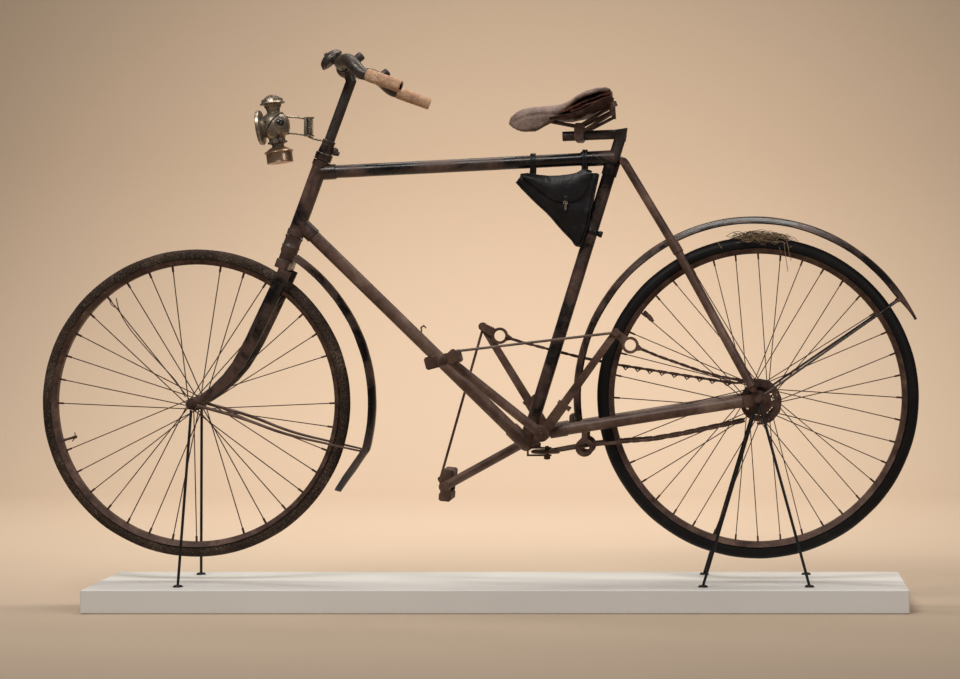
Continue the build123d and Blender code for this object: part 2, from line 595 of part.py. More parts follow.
for name, (side, pedal_angle, loop_reach, loop_angle, tip, pedal_tilt) in levers.items():
    pedal = polar(lever_pivot, pedal_arm_length, pedal_angle)
    upper_angle = pedal_angle - arm_spread
    arm_end = polar(lever_pivot, upper_arm_length, upper_angle)
    socket_end = polar(lever_pivot, socket_length, upper_angle)
    loop = polar(lever_pivot, loop_reach, loop_angle)
    tie_foot = polar(pedal, tie_lug_reach, pedal_angle - 90)
    arm_near = lever_plane + stirrup_thickness + free_gap
    arm_far = arm_near + upper_arm_thickness

    with BuildPart() as lever:
        cross_rod(lever_pivot, side * lever_plane, side * boss_outer, boss_radius)
        rod(at(lever_pivot, side * pedal_arm_y), at(pedal, side * pedal_arm_y), pedal_arm_radius)
        cross_rod(pedal, side * (pedal_arm_y - 12), side * (pedal_inner - 5), pedal_boss_radius)
        cross_rod(pedal, side * (pedal_arm_y - 12), side * (pedal_outer + 3), spindle_radius)
        with BuildSketch(Plane.XZ.offset(-side * (pedal_arm_y))):
            flat_bar(pedal, tie_foot, 16, 11)
            with Locations(tie_foot):
                Circle(5.5)
        extrude(amount=tie_lug_thickness / 2, both=True)
        with BuildSketch(Plane.XZ.offset(-side * arm_near)):
            flat_bar(lever_pivot, socket_end, socket_width, socket_width)
            flat_bar(socket_end, arm_end, upper_arm_width, upper_arm_width - 3)
            with Locations(arm_end):
                Circle(upper_arm_width / 2)
        extrude(amount=-side * upper_arm_thickness)
        with BuildSketch(Plane.XZ.offset(-side * (arm_near - 0.4))):
            with Locations(Location((socket_end[0], socket_end[1], 0), (0, 0, upper_angle))):
                Rectangle(clip_width, clip_height)
            with Locations(Location((*polar(socket_end, clip_height / 2 + 2, upper_angle - 90), 0),
                                    (0, 0, upper_angle))):
                Rectangle(clip_width + 2, clip_lug)
        extrude(amount=-side * (upper_arm_thickness + 2))
        cross_rod(lever_pivot, side * (lever_plane - 1), side * (boss_outer + 1),
                  lever_shaft_radius + running_gap, Mode.SUBTRACT)
    save(lever, name + "_lever")

    with BuildPart() as tie_rod:
        head_y = side * (arm_far + 4)
        eye_y = side * (pedal_arm_y - tie_lug_thickness / 2 - seat_gap - 3)
        wire(at(arm_end, head_y), at(tie_foot, eye_y), radius=tie_rod_radius)
        cross_rod(arm_end, side * arm_far, side * (arm_far + 8), 7)
        cross_rod(tie_foot, eye_y - 3, eye_y + 3, 5.5)
    save(tie_rod, name + "_tie_rod")

    with BuildPart() as stirrup:
        with BuildSketch(Plane.XZ.offset(-side * lever_plane)):
            bar_angle = degrees(atan2(loop[1] - arm_end[1], loop[0] - arm_end[0]))
            flat_bar(arm_end, loop, 15, 20)
            flat_bar(loop, tip, 2 * loop_radius - 5, 2 * loop_tip)
            with Locations(loop):
                Circle(loop_radius)
            with Locations(arm_end):
                Circle(9)
            with Locations(tip):
                Circle(loop_tip)
            for n in range(notch_count):
                along = 8 + n * 2 * notch_size
                for edge in (-1, 1):
                    spot = polar(polar(arm_end, along, bar_angle), 7.2 + along / 14, bar_angle + 90 * edge)
                    with Locations(Location((spot[0], spot[1], 0), (0, 0, bar_angle + 45))):
                        Rectangle(notch_size, notch_size)
            with Locations(loop):
                Circle(loop_hole, mode=Mode.SUBTRACT)
        extrude(amount=-side * stirrup_thickness)
    save(stirrup, name + "_stirrup")

    with BuildPart() as pedal_frame:
        for y in (pedal_inner, pedal_outer - 3):
            with BuildSketch(Plane.XZ.offset(-side * y)):
                for turn in (0, 180):
                    flat_bar(pedal, polar(pedal, plate_half, pedal_tilt + turn), 2 * pedal_boss_radius, plate_end)
            extrude(amount=-side * 3)
        cross_rod(pedal, side * pedal_inner, side * pedal_outer, 11)
        cross_rod(pedal, side * (pedal_outer - 4), side * (pedal_outer + 3), 12.4)
        cross_rod(pedal, side * (pedal_inner - 1), side * (pedal_outer + 3.5), spindle_radius + running_gap,
                  Mode.SUBTRACT)
    save(pedal_frame, name + "_pedal_frame")

    with BuildPart() as rubbers:
        with BuildSketch(Plane.XZ.offset(-side * (pedal_inner + 3))):
            for reach in (-block_reach, block_reach):
                block = polar(pedal, reach, pedal_tilt)
                with Locations(Location((block[0], block[1], 0), (0, 0, pedal_tilt))):
                    Rectangle(block_width, block_height)
        extrude(amount=-side * (pedal_outer - pedal_inner - 6))
        chamfer(rubbers.edges().filter_by(Axis.Y), 4)
    save(rubbers, name + "_pedal_rubbers")

# ---------------------------------------------------------------- saddle, pin and bag
pin_corner_z = 1010
pin_corner = at(on_seat_tube(pin_corner_z), 0)
bar_front, bar_radius = (129.9, 1004.9), 10.5
with BuildPart() as seat_pin:
    rod(toward(seat_tube_head, seat_tube_foot, 110), pin_corner, seat_pin_radius)
    rod(at(bar_front, 0), pin_corner, bar_radius)
    with BuildSketch(Plane.XZ):
        Polygon((pin_corner[0] - 14, pin_corner[2] - 14), (pin_corner[0] - 12, pin_corner[2] + 9),
                (pin_corner[0] + 13, pin_corner[2] + 13), (pin_corner[0] + 9, pin_corner[2] - 16), align=None)
    extrude(amount=seat_pin_radius - 1, both=True)
save(seat_pin, "seat_pin")

clamp_x, clamp_length = 166.4, 20
bar_share = (clamp_x - bar_front[0]) / (pin_corner[0] - bar_front[0])
clamp_z = bar_front[1] + (pin_corner[2] - bar_front[1]) * bar_share
spring_y, spring_rear_y = 24, 52
rail_radius, spring_radius, post_radius = 3, 3.5, 4.5
rail_nose = (80, 10, 1041.2)
# rear ends of the upper and the lower spring of each side, below the cantle
upper_spring_end, lower_spring_end = (236, 1064), (238, 1050)
with BuildPart() as saddle_frame:
    with BuildSketch(Plane.XZ):
        with Locations((clamp_x, clamp_z + 6)):
            Rectangle(clamp_length, 40)
    extrude(amount=spring_y + 5, both=True)
    chamfer(saddle_frame.edges().filter_by(Axis.Y), 4)
    for side in both_sides:
        y, rear_y = side * spring_y, side * spring_rear_y
        wire((clamp_x - 5, y, clamp_z + 20), (rail_nose[0], side * rail_nose[1], rail_nose[2]), radius=rail_radius)
        wire((clamp_x + 5, y, clamp_z + 22), at(upper_spring_end, rear_y), radius=spring_radius)
        wire((clamp_x + 5, y, clamp_z + 6), at(lower_spring_end, rear_y), radius=spring_radius)
        wire((upper_spring_end[0], rear_y, upper_spring_end[1] + 9.8), (lower_spring_end[0], rear_y, 1046),
             radius=post_radius)
    wire((rail_nose[0], -rail_nose[1] - 2, rail_nose[2]), (rail_nose[0], rail_nose[1] + 2, rail_nose[2]),
         radius=rail_radius)
    wire((237, -spring_rear_y, 1057), (237, spring_rear_y, 1057), radius=rail_radius)
    rod(at(bar_front, 0), pin_corner, bar_radius + seat_gap, Mode.SUBTRACT)
save(saddle_frame, "saddle_frame")

saddle_side = [(12.7, 1033.7), (43.4, 1065.5), (118.3, 1070.3), (149, 1078.9), (168.3, 1096.3), (197.2, 1105.7),
               (216.3, 1106.8), (233.5, 1101), (243.2, 1075), (150, 1068), (91.4, 1046), (57, 1042), (24.3, 1023.2)]
with BuildPart() as saddle_leather:
    with BuildSketch(Plane.XZ):
        Polygon(*saddle_side, align=None)
    extrude(amount=90, both=True)
    with BuildSketch(Plane.XY.offset(1000)):
        Polygon((5, -18), (60, -24), (130, -34), (190, -82), (250, -86), (250, 86), (190, 82), (130, 34),
                (60, 24), (5, 18), align=None)
    extrude(amount=130, mode=Mode.INTERSECT)
save(saddle_leather, "saddle_leather")

bag_half = 24
bag_side = [(37.8, 921.1), (104.3, 918.5), (172, 932), (209, 926.2), (186.5, 835.1), (165.3, 764),
            (120, 806.5), (78.3, 850.8), (26, 908)]
with BuildPart() as tool_bag:
    with BuildSketch(Plane.XZ):
        Polygon(*bag_side, align=None)
    extrude(amount=bag_half, both=True)
    rod(seat_tube_foot, seat_tube_head, frame_tube_radius + 2.5, Mode.SUBTRACT)
save(tool_bag, "tool_bag")

strap_width, strap_wall = 14, 2
with BuildPart() as bag_straps:
    for x in (66.4, 177):
        share = (x - top_tube_front[0]) / (top_tube_rear[0] - top_tube_front[0])
        centre = between(at(top_tube_front, 0), at(top_tube_rear, 0), share)
        radius = frame_tube_radius if x < seat_sleeve_x else lug_radius
        with BuildSketch(Plane(origin=(x, 0, centre[2]), x_dir=(0, 1, 0), z_dir=(1, 0, 0))):
            Circle(radius + seat_gap + strap_wall)
            with Locations((0, -15)):
                Rectangle(2 * (radius + seat_gap + strap_wall), 30)
        extrude(amount=strap_width / 2, both=True)
    rod(at(top_tube_front, 0), top_tube_end, frame_tube_radius + seat_gap, Mode.SUBTRACT)
    rod(top_tube_end, at(top_tube_rear, 0), lug_radius + seat_gap, Mode.SUBTRACT)
    with BuildSketch(Plane.XZ):
        Polygon(*bag_side, align=None)
    extrude(amount=bag_half + 60, both=True, mode=Mode.SUBTRACT)
save(bag_straps, "bag_straps")

# ---------------------------------------------------------------- mudguards
def guard_section(radius):
    """Shallow channel, rounded over the tyre, drawn where local x is the distance from the wheel's axle."""
    half, shoulder = guard_half_width, guard_half_width * 0.6
    lip, drop = radius - guard_depth, radius - guard_depth * 0.3
    Polygon((lip, -half), (drop, -shoulder), (radius, 0), (drop, shoulder), (lip, half),
            (lip, half - guard_wall), (drop - guard_wall, shoulder - guard_wall / 2), (radius - guard_wall, 0),
            (drop - guard_wall, guard_wall / 2 - shoulder), (lip, guard_wall - half), align=None)


def guard(centre, radius, start_angle, arc):
    """Channel swept round a wheel, from the start angle backwards."""
    with BuildSketch(radial_plane(centre, start_angle)) as profile:
        guard_section(radius)
    revolve(profile.sketch, axis=axle_axis(centre), revolution_arc=arc)


with BuildPart() as rear_mudguard:
    guard(guard_centre, guard_radius, guard_front_angle, guard_front_angle - guard_rear_angle)
    with BuildSketch(Plane.XZ):
        Polygon(polar(guard_centre, guard_radius - 22, guard_rear_angle - 1),
                polar(guard_centre, guard_radius - 22, guard_rear_angle + 2.2),
                polar(guard_centre, guard_radius + 4, guard_rear_angle - 1), align=None)
    extrude(amount=guard_half_width + 5, both=True, mode=Mode.SUBTRACT)
save(rear_mudguard, "rear_mudguard")

stay_wire = 2.4
stay_end_y = guard_half_width + stay_wire + seat_gap
rear_guard_stay_angle = 34
with BuildPart() as rear_mudguard_stays:
    for side in both_sides:
        outer = at(polar(guard_centre, guard_radius - guard_depth - 1, rear_guard_stay_angle), side * stay_end_y)
        wire(at(polar(rear_hub, 16, 40), side * (seat_stay_foot_y - 1)),
             at(polar(rear_hub, 40, 36), side * (seat_stay_foot_y - 3)), outer, radius=stay_wire)
        cross_rod((outer[0], outer[2]), side * (stay_end_y - stay_wire), side * (stay_end_y + stay_wire + 1), 4.5)
save(rear_mudguard_stays, "rear_mudguard_stays")

front_guard_radius = 387
front_guard_start, front_guard_end = 55.6, -15.3
flap_tip = (-346.6, 240.6)
with BuildPart() as front_mudguard:
    guard(front_hub, front_guard_radius, front_guard_start, front_guard_start - front_guard_end)
    flap_root = polar(front_hub, front_guard_radius, front_guard_end)
    run = Vector(flap_tip[0] - flap_root[0], 0, flap_tip[1] - flap_root[1])
    with BuildSketch(radial_plane(front_hub, front_guard_end + 0.5)) as end_face:
        guard_section(front_guard_radius)
    extrude(end_face.sketch, amount=run.length, dir=run)
    with BuildSketch(Plane(origin=at(flap_tip, 0), x_dir=(0, 1, 0), z_dir=(1, 0, 0))):
        with Locations((0, -4)):
            Rectangle(2 * guard_half_width + 6, 60)
        with Locations((0, guard_half_width + 1)):
            Circle(guard_half_width + 1, mode=Mode.SUBTRACT)
    extrude(amount=60, both=True, mode=Mode.SUBTRACT)
save(front_mudguard, "front_mudguard")

stay_hub_width, stay_guard_width, stay_bar = 14, 7, 3
front_stay_y = 45.5                  # on the axle, against the fork's outer face
with BuildPart() as front_mudguard_stays:
    for side in both_sides:
        outer = polar(front_hub, front_guard_radius - guard_depth - 1, -14.5)
        near = at(front_hub, side * front_stay_y)
        far = at(outer, side * (guard_half_width + stay_bar / 2 + seat_gap))
        run = (Vector(*far) - Vector(*near)).normalized()
        ends = []
        for point, width in ((near, stay_hub_width), (far, stay_guard_width)):
            with BuildSketch(Plane(origin=point, z_dir=run, x_dir=(run.Z, 0, -run.X))) as end:
                Rectangle(width, stay_bar * 0.85)
            ends.append(end.sketch)
        loft(ends, ruled=True)
        cross_rod(front_hub, side * (front_stay_y - stay_bar / 2), side * (front_stay_y + stay_bar / 2), 11)
        cross_rod(front_hub, side * 40, side * 55, front_axle_radius + running_gap, Mode.SUBTRACT)
save(front_mudguard_stays, "front_mudguard_stays")

# ---------------------------------------------------------------- fork and steering
crown_low, crown_height = -252, 20
blade_y, blade_thickness = 37, 11
# each blade, from the crown down: x, z, width in side view, thickness
blade_sections = [(-459.5, 718, 29, 20), (-532, 565, 29, 18), (-558, 519, 27, 15), (-596, 474, 22, 12.5),
                  (-652, 434.5, 17, blade_thickness)]


def eight_sided(width, depth):
    cut = min(width, depth) * 0.28
    x, y = width / 2, depth / 2
    Polygon((-x, cut - y), (cut - x, -y), (x - cut, -y), (x, cut - y),
            (x, y - cut), (x - cut, y), (cut - x, y), (-x, y - cut), align=None)


with BuildPart() as fork:
    rod(on_steering(head_tube_low - 39), on_steering(headset_top), steerer_radius)
    rod(on_steering(crown_low), on_steering(head_tube_low - 39), 16.5)
    rod(on_steering(head_tube_low - 39), on_steering(head_tube_low - free_gap), 18)
    crown_middle = on_steering(crown_low + 2 + crown_height / 2, 2)
    with BuildSketch(Plane(origin=crown_middle, z_dir=steer_dir, x_dir=(lean_z, 0, -lean_x))):
        RectangleRounded(30, 2 * blade_y + blade_sections[0][3], 9)
    extrude(amount=crown_height / 2, both=True)
    for side in both_sides:
        stations = []
        for n, (x, z, width, depth) in enumerate(blade_sections):
            above, below = blade_sections[max(n - 1, 0)], blade_sections[min(n + 1, len(blade_sections) - 1)]
            along = Vector(above[0] - below[0], 0, above[1] - below[1]).normalized()
            with BuildSketch(Plane(origin=(x, side * blade_y, z), z_dir=along, x_dir=(along.Z, 0, -along.X))) as cut:
                eight_sided(width, depth)
            stations.append(cut.sketch)
        loft(stations, ruled=True)
        with BuildSketch(Plane.XZ.offset(-side * blade_y)):
            with Locations(front_hub):
                Circle(front_washer_radius)
        extrude(amount=blade_thickness / 2, both=True)
        cross_rod(front_hub, side * 30, side * 60, front_axle_radius + running_gap, Mode.SUBTRACT)
save(fork, "fork")

with BuildPart() as front_axle:
    cross_rod(front_hub, -60, 60, front_axle_radius)
    for side in both_sides:
        washer = front_stay_y + stay_bar / 2 + seat_gap / 2
        cross_rod(front_hub, side * washer, side * (washer + 2), front_washer_radius)
        with BuildSketch(Plane.XZ.offset(-side * (washer + 2))):
            with Locations(front_hub):
                RegularPolygon(8.5, 6)
        extrude(amount=-side * 7)
save(front_axle, "front_axle")

with BuildPart() as headset_nuts:
    rod(on_steering(head_tube_high + free_gap), on_steering(headset_top), 19)
    rod(on_steering(head_tube_high - 1), on_steering(headset_top + 2), steerer_radius, Mode.SUBTRACT)
save(headset_nuts, "headset_nuts")

stem_radius = 11
stem_bend = 178                      # along the steering axis, where the stem leans forwards to its head
stem_head, head_ball_radius = (-334.6, 1152.0), 22
collar_height, bolt_reach, bolt_radius = 37, 22, 7.5
with BuildPart() as stem:
    rod(on_steering(headset_top), on_steering(collar_height), 13.5)
    wire(on_steering(headset_top), on_steering(stem_bend),
         toward(at(stem_head, 0), on_steering(stem_bend), stem_radius + 3), radius=stem_radius, sides=0)
    with BuildSketch(Plane(origin=at(stem_head, 0), x_dir=(0, 1, 0), z_dir=(1, 0, 0))):
        with BuildLine():
            Polyline((-30, 0), (-30, 15), (-17, 15), (-11, head_ball_radius - 3), (-4, head_ball_radius),
                     (4, head_ball_radius), (11, head_ball_radius - 3), (17, 15), (30, 15), (30, 0), close=True)
        make_face()
    revolve(axis=Axis(at(stem_head, 0), (0, 1, 0)))
    rod(on_steering(22, 8), on_steering(22, bolt_reach), 4)
    taper(on_steering(22, bolt_reach - 5), on_steering(22, bolt_reach + bolt_radius), bolt_radius, bolt_radius - 3)
    cross_rod(stem_head, -40, 40, stem_radius, Mode.SUBTRACT)
save(stem, "stem")

grip_start, grip_end = (-268, 214, 1122), (-185, 230, 1092)
grip_length, grip_radius = 80, 14
bar_sides = 12
# right half of the bar, from the stem's head out, forwards and back to the grip
bar_half = [(stem_head[0], 0, stem_head[1]), (stem_head[0], 96, stem_head[1]), (-328, 122, 1152),
            (-303, 176, 1152), (-292, 198, 1146), grip_start, toward(grip_start, grip_end, grip_length)]
# a short lug with a collar points up and back from each side of the bar
bar_lug_y, bar_lug_run, bar_lug_radius, bar_lug_collar = 181, ((-297, 1142), (-271.5, 1162.3)), 9.5, 13
with BuildPart() as handlebar:
    for side in both_sides:
        wire(*[(x, side * y, z) for x, y, z in bar_half], radius=stem_radius, sides=bar_sides)
        start, end = [(x, side * bar_lug_y, z) for x, z in bar_lug_run]
        rod(start, end, bar_lug_radius)
        taper(toward(start, end, 9), toward(start, end, 13), bar_lug_collar, bar_lug_collar - 1)
save(handlebar, "handlebar")

with BuildPart() as grips:
    for side in both_sides:
        start, end = [(x, side * y, z) for x, y, z in (grip_start, grip_end)]
        taper(toward(start, end, 12), end, grip_radius, grip_radius - 1.2)
        rod(start, toward(start, end, grip_length + free_gap), stem_radius + seat_gap, Mode.SUBTRACT)
        rod(toward(start, end, grip_length), end, 7, Mode.SUBTRACT)
save(grips, "grips")

bell_centre, bell_y = (-358.2, 1163.8), -40
bell_radius, bell_height = 28, 19
bell_dir = Vector(-1, 0, 1).normalized()
bell_plane = Plane(origin=at(bell_centre, bell_y), x_dir=(0, 1, 0), z_dir=(1, 0, 1))
with BuildPart() as bell:
    with BuildSketch(bell_plane):
        with BuildLine():
            Polyline((0, -3), (bell_radius - 6, -3), (bell_radius - 6, 0), (bell_radius, 0), (bell_radius - 1, 8),
                     (bell_radius - 7, 14), (bell_radius - 16, bell_height - 1), (5, bell_height),
                     (4, bell_height + 3), (0, bell_height + 3), close=True)
        make_face()
    revolve(axis=Axis(at(bell_centre, bell_y), bell_dir))
    rod(at(bell_centre, bell_y), at(stem_head, bell_y), 6)
    cross_rod(stem_head, bell_y - 8, bell_y + 8, stem_radius + seat_gap + 3)
    cross_rod(stem_head, bell_y - 20, bell_y + 20, stem_radius + seat_gap, Mode.SUBTRACT)
save(bell, "bell")

lamp_centre, lamp_droop = (-487.8, 1027.9), 7.7
droop_x, droop_z = cos(radians(lamp_droop)), sin(radians(lamp_droop))
lamp_plane = Plane(origin=at(lamp_centre, 0), z_dir=(0, -1, 0), x_dir=(droop_x, 0, droop_z))
lamp_up = (-droop_z, 0, droop_x)
lamp_axis = Axis(at(lamp_centre, 0), lamp_up)
lamp_front = Vector(-droop_x, 0, -droop_z)
jewel_radius, bezel_radius, bezel_depth = 8, 38.5, 14
with BuildPart() as lamp_body:
    with BuildSketch(lamp_plane):
        with BuildLine():
            Polyline((0, -81), (28.5, -81), (28.5, -57), (31, -53), (20, -46), (12, -43), (12, -40), (21, -37),
                     (21, -34), (17, -28), (27, -20), (31.5, -8), (31.5, 8), (27, 20), (17.3, 28), (17.3, 46),
                     (26.5, 48), (26.5, 51), (14, 60), (9, 67), (0, 67), close=True)
        make_face()
    revolve(axis=lamp_axis)
    with Locations(Plane(origin=Vector(*at(lamp_centre, 0)) + lamp_front * 20, z_dir=lamp_front).location):
        Cone(24, 36, 12, align=(Align.CENTER, Align.CENTER, Align.MIN))
    jewel = (lamp_centre[0] + 2, lamp_centre[1] + 1)
    for side in both_sides:
        taper(at(jewel, side * 28), at(jewel, side * 37), jewel_radius + 2, jewel_radius - 2)
save(lamp_body, "lamp_body")
with BuildPart() as lamp_front_glass:
    bezel_plane = Plane(origin=Vector(*at(lamp_centre, 0)) + lamp_front * 32, z_dir=lamp_front)
    with BuildSketch(bezel_plane):
        Circle(bezel_radius)
    extrude(amount=bezel_depth)
    with BuildSketch(bezel_plane.offset(bezel_depth)):
        Circle(bezel_radius - 5)
    extrude(amount=-3, mode=Mode.SUBTRACT)
save(lamp_front_glass, "lamp_front")
with BuildPart() as lamp_bracket:
    for high, low in (((-464.8, 1048), (-417.5, 1044.5)), ((-461.6, 1012.4), (-418.8, 1007))):
        wire(at(high, 0), at(low, 0), radius=3)
    with Locations((-416.3, 0, 1025.6)):
        Box(19, 24, 40)
    rod((-412, 0, 1008), on_steering(collar_height, -6), 5)
    add(lamp_body.part, mode=Mode.SUBTRACT)
    rod(on_steering(10), on_steering(60), 13.7, Mode.SUBTRACT)
save(lamp_bracket, "lamp_bracket")
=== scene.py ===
import json
import random
from math import cos, pi, radians, sin

import bmesh
import bpy
from mathutils import Matrix, Vector, noise


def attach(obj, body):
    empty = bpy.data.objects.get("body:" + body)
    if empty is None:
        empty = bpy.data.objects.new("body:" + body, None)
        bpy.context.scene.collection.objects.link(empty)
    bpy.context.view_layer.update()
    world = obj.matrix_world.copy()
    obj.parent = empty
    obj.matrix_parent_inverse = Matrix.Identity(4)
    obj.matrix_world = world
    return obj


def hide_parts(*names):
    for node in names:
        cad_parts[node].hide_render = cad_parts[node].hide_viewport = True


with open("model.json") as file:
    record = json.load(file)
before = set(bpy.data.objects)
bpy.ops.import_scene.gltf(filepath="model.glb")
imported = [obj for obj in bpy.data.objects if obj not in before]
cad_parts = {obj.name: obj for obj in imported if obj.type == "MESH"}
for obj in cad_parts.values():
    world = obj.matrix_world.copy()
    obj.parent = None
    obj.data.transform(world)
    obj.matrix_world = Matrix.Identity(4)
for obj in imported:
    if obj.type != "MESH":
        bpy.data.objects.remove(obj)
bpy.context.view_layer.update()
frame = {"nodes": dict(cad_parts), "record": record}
nodes = frame["nodes"]
print("frame loaded:", len(nodes), "nodes")

mm = 0.001
frontHub = (-657.0, 0, 431.7)
rearHub = (550.0, 0, 443.5)


def place(x, y, z):
    return Vector((x, y, z)) * mm


# point in side view, y towards the far side, all in mm
def flat(spot, y=0):
    return Vector((spot[0], y, spot[1]))


# direction in side view at an angle in degrees, 0 rearwards and 90 upwards
def facing(degrees):
    turn = radians(degrees)
    return Vector((cos(turn), 0, sin(turn)))


# wires procedural nodes into one Principled shader
class Finish:

    def __init__(self, name, rough=0.5, metal=0.0, specular=0.5):
        self.material = bpy.data.materials.new(name)
        self.material.use_nodes = True
        self.tree = self.material.node_tree
        self.shader = self.tree.nodes["Principled BSDF"]
        self.shader.inputs["Metallic"].default_value = metal
        self.shader.inputs["Roughness"].default_value = rough
        self.shader.inputs["Specular IOR Level"].default_value = specular
        self.coords = self.tree.nodes.new("ShaderNodeTexCoord").outputs["Object"]

    # sets a socket from a number, a colour, a vector or another node's output
    def feed(self, socket, value):
        if isinstance(value, bpy.types.NodeSocket):
            self.tree.links.new(value, socket)
        elif hasattr(value, "__len__") and len(value) < len(socket.default_value):
            socket.default_value = (*value, 1)
        else:
            socket.default_value = value

    def node(self, kind, sockets, **settings):
        made = self.tree.nodes.new("ShaderNode" + kind)
        for key, value in settings.items():
            setattr(made, key, value)
        for key, value in sockets.items():
            self.feed(made.inputs[key], value)
        return made

    def stretched(self, scale):
        return self.node("Mapping", {"Vector": self.coords, "Scale": scale}).outputs["Vector"]

    def noise(self, scale, detail=6, roughness=0.6, distortion=0.0, coords=None):
        made = self.node("TexNoise", {"Vector": coords or self.coords, "Scale": scale, "Detail": detail,
                                      "Roughness": roughness, "Distortion": distortion})
        return made.outputs["Fac"]

    def cells(self, scale, feature="F1"):
        made = self.node("TexVoronoi", {"Vector": self.coords, "Scale": scale}, feature=feature)
        return made.outputs["Distance"]

    def ramp(self, source, *stops):
        made = self.node("ValToRGB", {"Fac": source})
        points = made.color_ramp.elements
        while len(points) < len(stops):
            points.new(0.5)
        for point, (where, colour) in zip(points, stops):
            point.position = where
            point.color = (*colour, 1) if hasattr(colour, "__len__") else (colour, colour, colour, 1)
        return made.outputs["Color"]

    def mask(self, source, start, end):
        return self.ramp(source, (start, 0.0), (end, 1.0))

    def blend(self, share, first, second):
        made = self.node("Mix", {"Factor": share, "A": first, "B": second}, data_type="RGBA")
        return made.outputs["Result"]

    # a mask at part of its strength
    def faint(self, source, amount):
        return self.node("Math", {0: source, 1: amount}, operation="MULTIPLY").outputs["Value"]

    def colour(self, source):
        self.feed(self.shader.inputs["Base Color"], source)

    def ranged(self, name, source, low, high):
        made = self.node("MapRange", {"Value": source, "To Min": low, "To Max": high})
        self.feed(self.shader.inputs[name], made.outputs["Result"])

    def rough(self, source, low, high):
        self.ranged("Roughness", source, low, high)

    def metal(self, source, low, high):
        self.ranged("Metallic", source, low, high)

    # laid over the bump that is there already
    def bump(self, source, strength, distance):
        made = self.node("Bump", {"Strength": strength, "Distance": distance, "Height": source})
        normal = self.shader.inputs["Normal"]
        if normal.is_linked:
            self.feed(made.inputs["Normal"], normal.links[0].from_socket)
        self.feed(normal, made.outputs["Normal"])


# camera, light and floor

view = {
    "camera": (492, -5000, 677),
    "lens": 87.2,
    "shiftX": -0.2615,
    "shiftY": -0.0526,
    "backdropColour": (0.90, 0.71, 0.535),
    # middle, reach, distances and edge level of the painted pool of light and painted shade on the backdrop
    "backdropLightMiddle": (-0.35, 2.6, 0.25),
    "backdropLightReach": (2.0, 2.3, 1.38),
    "backdropLightFalloff": (0.35, 1.9),
    "backdropEdgeShade": 0.36,
    "floorFront": -7.0,
    "floorBack": 2.6,
    "sweepRadius": 1.2,
    "halfWidth": 9.0,
    "wallHeight": 5.0,
    "worldStrength": 0.11,
    "worldSeen": 0.62,
}


def makeCamera():
    camera = bpy.data.cameras.new("camera")
    camera.lens = view["lens"]
    camera.sensor_width = 36
    camera.shift_x = view["shiftX"]
    camera.shift_y = view["shiftY"]
    camera.clip_end = 60
    eye = bpy.data.objects.new("camera", camera)
    eye.location = place(*view["camera"])
    eye.rotation_euler = (radians(90), 0, 0)
    bpy.context.scene.collection.objects.link(eye)
    bpy.context.scene.camera = eye


lights = {
    # place and aim, width and depth in metres, power in watts, colour
    "keyLamp": ((-1.4, -2.8, 4.3), (0, 0, 0.6), (2.6, 1.2), 125, (1.0, 0.98, 0.95)),
    "sideLamp": ((3.4, -3.2, 2.6), (0, 0, 0.6), (1.0, 2.4), 42, (0.97, 0.98, 1.0)),
    "rimLamp": ((0.4, 1.5, 3.8), (0, 0, 0.7), (3.4, 0.6), 42, (1.0, 0.97, 0.94)),
    "wallLamp": ((0.0, 0.6, 4.6), (0.1, 3.6, 0.7), (4.0, 0.8), 105, (1.0, 0.93, 0.84)),
}


def makeLight(name, spot, target, size, power, colour):
    lamp = bpy.data.lights.new(name, "AREA")
    lamp.shape = "RECTANGLE"
    lamp.size, lamp.size_y = size
    lamp.energy = power
    lamp.color = colour
    holder = bpy.data.objects.new(name, lamp)
    holder.location = spot
    holder.rotation_euler = (Vector(target) - Vector(spot)).to_track_quat("-Z", "Y").to_euler()
    bpy.context.scene.collection.objects.link(holder)


# paper painted brightest at its middle and darker away from it: a painted pool of light with painted shade
# towards the edges
def makePaper():
    paper = Finish("backdropPaper", rough=0.9, specular=0.1)
    shift = paper.node("VectorMath", {0: paper.coords, 1: view["backdropLightMiddle"]}, operation="SUBTRACT")
    scale = paper.node("VectorMath", {0: shift.outputs["Vector"], 1: view["backdropLightReach"]},
                       operation="DIVIDE")
    away = paper.node("VectorMath", {0: scale.outputs["Vector"]}, operation="LENGTH")
    near, far = view["backdropLightFalloff"]
    paintedFalloff = paper.node("MapRange", {"Value": away.outputs["Value"], "From Min": near, "From Max": far,
                                   "To Min": 1.0, "To Max": view["backdropEdgeShade"]},
                      interpolation_type="SMOOTHSTEP")
    # paper colour times the painted light fall-off: painted light at the middle, painted shade at the edges
    tint = paper.node("VectorMath", {0: view["backdropColour"], "Scale": paintedFalloff.outputs["Result"]},
                      operation="SCALE")
    paper.colour(tint.outputs["Vector"])
    # the paper shows from its front only, so that it hides nothing from behind
    side = paper.node("NewGeometry", {})
    clear = paper.node("BsdfTransparent", {})
    either = paper.node("MixShader", {0: side.outputs["Backfacing"], 1: paper.shader.outputs["BSDF"],
                                      2: clear.outputs["BSDF"]})
    paper.feed(paper.tree.nodes["Material Output"].inputs["Surface"], either.outputs["Shader"])
    return paper.material


